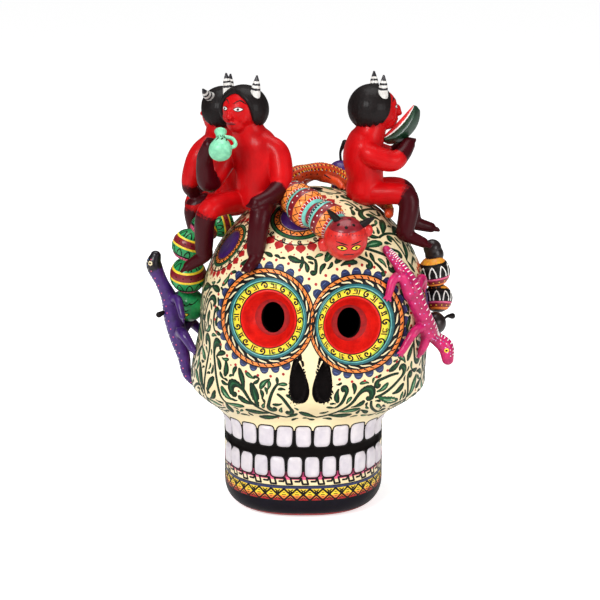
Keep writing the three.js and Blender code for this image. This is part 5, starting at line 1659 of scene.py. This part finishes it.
def centre_face():
    name = "centre_grub"
    chart = head_chart(name, CENTRE_HEAD, (0.15, -1, -0.12))
    eyes_on(name, chart, 3.6, -1.5, 1.9, -5.2)
    for k in range(-5, 6):
        stroke(fig(name, "maroon"), chart, [(k * 1.7 * 0.8, 8.5), (k * 1.7, 5.2 - abs(k) * 0.3)],
               [2.2, 0.6], 0.11)
    crown = head_chart(name, CENTRE_HEAD, (0.0, -0.35, 1), (0, 1, 0.3))
    belt(fig(name, "maroon"), crown, 0.05, 9.0, 0.09, 40, 9, (0, 1.0))
    for spot in ((0, -5.5), (3.8, -3.5), (-3.8, -3.2), (1.8, 0.5), (-2.2, 1.5), (0, 5)):
        dot(fig(name, "black"), crown, spot, 1.1, 0.15, 10)


def green_face():
    chart = head_chart("green_grub", GREEN_HEAD, (-0.55, -0.8, -0.35))
    eyes_on("green_grub", chart, 3.2, -1.0, 1.6, -4.6)
    for k in range(-3, 4):
        stroke(fig("green_grub", "black"), chart, arc((k * 2.3, 5.2), 1.2, 200, 340, 7), 0.55, 0.14)


def feeler(name, root, aim, rise, node):
    tip = root + aim * 11.0
    bend = (root + tip) / 2 + rise * 1.32
    stalk = tube([root, bend, tip], np.array([0.8, 0.8, 1.7]), None, rise, 12, 20, 1.0)
    dress(melt(name, [stalk], 0.28, 1), "hair", "hair_black", node)


def centre_spikes():
    """The centre grub's two horns and two ears."""
    head = CENTRE_HEAD[0][0]
    radius = 10.2
    for name, side in (("left", -1), ("right", 1)):
        crown = head + unit((0.55 * side + 0.25, -0.15, 0.75)) * radius
        tip = crown + unit((0.75 * side + 0.2, -0.1, 0.6)) * radius * 0.75
        line = [crown, (crown + tip) / 2, tip]
        spike = tube(line, np.array([0.2, 0.17, 0.09]) * radius, None, (0, 1, 0.1), 12, 16)
        dress(melt(f"centre_{name}_spike", [spike], 0.28, 1), "hair", "hair_black",
              f"centre_grub_{name}_horn")
        ear = head + unit((side, -0.05, 0.35 * side + 0.05)) * radius * 1.12
        lobe = melt(f"centre_{name}_lobe", [ball(ear, np.array([3.2, 2.24, 3.5]))], 0.3, 2)
        dress(lobe, "head_red", "devil_red", f"centre_grub_{name}_ear")


centre_face()
green_face()
green_root = GREEN_HEAD[0][0] - UP * 9.8 * 0.25
for side, aim in (("left", unit((-0.85, -0.5, -0.05))), ("right", unit((-0.55, 0.8, -0.05)))):
    feeler(f"green_{side}_stalk", green_root + aim * 9.8 * 0.75, aim, UP, f"green_grub_{side}_feeler")
black_root = BLACK_HEAD[0][0] + unit((1, 0, 0.2)) * 8.6 * 0.4
feeler("black_stalk", black_root, unit((0.6, 0.75, 0.1)), UP, "black_grub_feeler")
purple_root = PURPLE_HEAD[0][0] + UP * 7.6 * 0.9
feeler("purple_stalk", purple_root, unit((0.2, 0, 1)), unit((-1, 0, 0.1)), "purple_grub_feeler")
centre_spikes()

# The lizards: way round, height in shares of the skull's, lift and girth in shares of the lizard's girth.
PINK = {
    "body": [(-46.5, 0.848, 0.35, 0.42), (-45, 0.825, 0.45, 0.5), (-43, 0.795, 0.55, 0.62),
             (-41, 0.745, 0.7, 0.95), (-37, 0.675, 0.75, 0.9), (-30, 0.605, 0.85, 1),
             (-25, 0.575, 1.1, 0.72), (-23, 0.545, 2.3, 0.85), (-23, 0.505, 2.7, 0.62)],
    "rear_left_leg": [(-42, 0.715, 0.7, 0.75), (-47, 0.765, 1.1, 0.62), (-52, 0.765, 0.7, 0.5),
                      (-56, 0.727, 0.3, 0.38)],
    "rear_right_leg": [(-37, 0.72, 0.6, 0.6), (-27, 0.745, 0.7, 0.55), (-22, 0.72, 0.35, 0.4)],
    "front_left_leg": [(-32, 0.62, 0.8, 0.6), (-42, 0.61, 0.7, 0.5), (-49, 0.555, 0.35, 0.38)],
    "front_right_leg": [(-29, 0.605, 0.5, 0.6), (-31, 0.565, 0.7, 0.52), (-32, 0.53, 0.4, 0.38)],
}
VIOLETS = {
    "body": [(176, 0.728, 5.2, 0.55), (176, 0.705, 5.1, 0.8), (176, 0.67, 4.1, 0.66),
             (175, 0.627, 3.2, 0.85), (175, 0.56, 2.75, 1), (175, 0.494, 1.9, 0.9),
             (176, 0.439, 0.95, 0.66), (177, 0.39, 0.5, 0.5), (177, 0.349, 0.3, 0.38)],
    "rear_left_leg": [(175, 0.5, 1.8, 0.62), (185, 0.535, 1.5, 0.58), (190, 0.5, 0.3, 0.4)],
    "rear_right_leg": [(175, 0.5, 1.8, 0.62), (165, 0.525, 1.5, 0.58), (160, 0.49, 0.3, 0.4)],
    "front_left_leg": [(175, 0.625, 3, 0.5), (182, 0.64, 2.2, 0.45), (186, 0.6, 1.7, 0.34)],
    "front_right_leg": [(175, 0.625, 3, 0.5), (168, 0.63, 2, 0.45), (163, 0.6, 0.4, 0.34)],
}
ORANGES = {
    "body": [(136, 0.978, 0.7, 0.55), (122, 0.985, 1.2, 0.95), (103, 0.985, 1.45, 0.8),
             (79, 0.978, 1.55, 1), (64, 0.959, 1.45, 0.95), (50, 0.94, 1.2, 0.8), (28, 0.925, 0.8, 0.65),
             (6, 0.918, 0.62, 0.55), (-10, 0.915, 0.55, 0.45)],
    "left_leg": [(92, 0.984, 1.1, 0.5), (100, 0.965, 0.9, 0.42), (108, 0.955, 0.3, 0.36)],
    "right_leg": [(80, 0.978, 1, 0.5), (50, 0.985, 0.7, 0.42), (30, 0.985, 0.3, 0.36)],
}
# Paint, slot, girth, paint of the back's lines and of the larger dots, and the rows of snout and neck.
LIZARDS = {
    "pink_lizard": (PINK, "magenta", "magenta", 5.2, "white", "lilac", (-1, -2)),
    "purple_lizard": (VIOLETS, "violet", "purple", 5.6, "white", "pink", (0, 1)),
    "orange_lizard": (ORANGES, "lizard_orange", "orange", SKULL_H * 0.0319, "yellow", "black", (0, 1)),
}


def lizard_shapes(table, girth):
    """The body and the legs with their claws, and the body's own line and girths."""
    shapes = []
    for part, rows in table.items():
        line = np.array([on_skull(t, h, girth * lift) for t, h, lift, _ in rows])
        wides = np.array([girth * row[3] for row in rows])
        if part == "body":
            turn, high = rows[2][:2]
            across = unit(np.cross(line[2] - line[1], wall_normal(turn, high * SKULL_H)))
            shapes.append(tube(line, wides * 0.97, None, across, 20, 60, 0.9))
            body = line, wides
            continue
        shapes.append(tube(line, wides * 0.95, None, (1, 0.3, 0.2), 14, 20))
        way = unit(line[-1] - line[-2])
        turn, high = rows[-1][:2]
        side = unit(np.cross(way, wall_normal(turn, high * SKULL_H)))
        for k in (-1, 0, 1):
            shapes.append(stub(line[-1], way * (3.0 - abs(k) * 0.6), side * k * 2.2, [1.0, 0.9, 0.6], side))
    return shapes, *body


def lizard_marks(name, tree, line, wides, line_color, dot_color):
    """Cross lines along the back and dots on the flanks."""
    shares = np.linspace(0, 1, 40)
    path = catmull(line, shares)
    girths = catmull(wides[:, None], shares)[:, 0]
    tangents = np.gradient(path, axis=0)
    across_crown = name == "orange_lizard"
    for i in range(2, 38):
        t = unit(tangents[i])
        axis = np.array([SHIFT, 0.0, path[i][2] - 25])
        out = np.array([0, -0.75, 1.0]) if across_crown else path[i] - axis
        out = unit(out - t * np.dot(out, t))
        side = np.cross(t, out)
        reach = girths[i] * 2.5
        chart = Hit(tree, path[i], -out, t, reach)
        half = girths[i] * 0.55 if across_crown else 0.9
        stroke(fig(name, line_color), chart, [(-half, 0), (0, 0), (half, 0)], 0.6, 0.2)
        if across_crown:
            stroke(fig(name, "black"), chart, [(-half, 1.0), (0, 1.0), (half, 1.0)], 0.7, 0.19)
        if i % 2 == 0:
            for s in (-1, 1):
                flank = Hit(tree, path[i], -unit(out * 0.45 + side * s), t, reach)
                dot(fig(name, dot_color), flank, (0, 0), 0.45, 0.16, 8)
        for s in (-1, 1):
            flank = Hit(tree, path[i], -unit(out * 1.2 + side * s), t, reach)
            dot(fig(name, "white" if i % 2 else "blue"), flank, (0, 0.6), 0.32, 0.15, 7)


def lizard_eyes(name, tree, tip, neck):
    way = unit(tip - neck)
    out = unit(neck - np.array([SHIFT, 0, neck[2] - 20]))
    side = unit(np.cross(way, out))
    for s in (-1, 1):
        chart = Hit(tree, neck + way * 1.0, -unit(side * s + out * 0.5 + way * 0.15), way, 16)
        dot(fig(name, "cream" if name == "purple_lizard" else "yellow"), chart, (0, 0), 1.35, 0.2, 14)
        dot(fig(name, "black"), chart, (0, 0), 0.7, 0.3, 10)


lizards = {}
for name, (table, color, slot, girth, line_color, dot_color, (tip, neck)) in LIZARDS.items():
    shapes, line, wides = lizard_shapes(table, girth)
    piece = melt(name + "_clay", shapes, 0.42, 3)
    dress(piece, color, slot, *[f"{name}_{part}" for part in table])
    tree = tree_of(piece)
    lizard_marks(name, tree, line, wides, line_color, dot_color)
    if name == "purple_lizard":
        _, share = line_distance(points_of(piece), line)
        shade(piece, np.clip((0.2 - share) / 0.08, 0, 1))
    lizards[name] = tree, line[tip], line[neck]
for name, (tree, tip, neck) in lizards.items():
    lizard_eyes(name, tree, tip, neck)

for (figure, color), bag in figure_bags.items():
    bag.mesh(f"{figure}_paint_{color}", color)


# The floor, the light and the camera.
def by_ray(tree, ray, otherwise, seen):
    """One shader for a kind of ray, and another for all the rest."""
    mix = add_node(tree, "MixShader")
    tree.links.new(add_node(tree, "LightPath").outputs[ray], mix.inputs["Fac"])
    tree.links.new(otherwise.outputs[0], mix.inputs[1])
    tree.links.new(seen.outputs[0], mix.inputs[2])
    return mix


def build_floor(half=6, level=-0.0002):
    """A pale floor that looks white to the camera and keeps the object's shadow."""
    material = bpy.data.materials.new("pale_floor")
    material.use_nodes = True
    tree = material.node_tree
    bsdf = tree.nodes["Principled BSDF"]
    bsdf.inputs["Base Color"].default_value = (0.93, 0.93, 0.93, 1)
    bsdf.inputs["Roughness"].default_value = 0.9
    none = add_node(tree, "Emission", Strength=0.0)
    glow = add_node(tree, "Emission", Strength=0.62)
    both = add_node(tree, "AddShader")
    tree.links.new(bsdf.outputs[0], both.inputs[0])
    tree.links.new(by_ray(tree, "Is Camera Ray", none, glow).outputs[0], both.inputs[1])
    tree.links.new(both.outputs[0], tree.nodes["Material Output"].inputs["Surface"])
    made = bpy.data.meshes.new("floor")
    corners = [(-half, -half, level), (half, -half, level), (half, half, level), (-half, half, level)]
    made.from_pydata(corners, [], [(0, 1, 2, 3)])
    made.materials.append(material)
    link("floor", made)


def build_world():
    world = bpy.data.worlds.new("studio")
    bpy.context.scene.world = world
    world.use_nodes = True
    tree = world.node_tree
    tree.nodes.clear()
    white = (1, 1, 1, 1)
    plain, sheen, seen = [add_node(tree, "Background", Color=white, Strength=k) for k in (0.42, 0.1, 1.0)]
    calm = by_ray(tree, "Is Glossy Ray", plain, sheen)
    mix = by_ray(tree, "Is Camera Ray", calm, seen)
    tree.links.new(mix.outputs[0], add_node(tree, "OutputWorld").inputs["Surface"])


def aim_at(piece, place, target):
    piece.location = place
    piece.rotation_euler = (Vector(target) - Vector(place)).to_track_quat("-Z", "Y").to_euler()


def area(name, place, target, size, watts):
    light = bpy.data.lights.new(name, "AREA")
    light.shape = "RECTANGLE"
    light.size = size
    light.size_y = size
    light.energy = watts
    aim_at(link(name, light), place, target)


def build_camera():
    camera = bpy.data.cameras.new("view")
    camera.sensor_width = 36
    camera.lens = 1651 / 600 * 36
    camera.clip_end = 20
    eye = link("view", camera)
    target = Vector((-0.0018, 0, 0.1094))
    rise = math.radians(14)
    aim_at(eye, target + Vector((0, -math.cos(rise), math.sin(rise))) * 0.9, target)
    return eye


build_floor()
build_world()
area("key", (-0.5, -0.8, 0.7), (0, 0, 0.12), 0.4, 8.5)
area("fill", (0.7, -0.7, 0.4), (0, 0, 0.12), 0.5, 4.5)
area("top", (0.0, 0.1, 1.0), (0, 0, 0.1), 0.6, 5)
bpy.context.scene.camera = build_camera()
bpy.context.scene.view_settings.view_transform = "Standard"
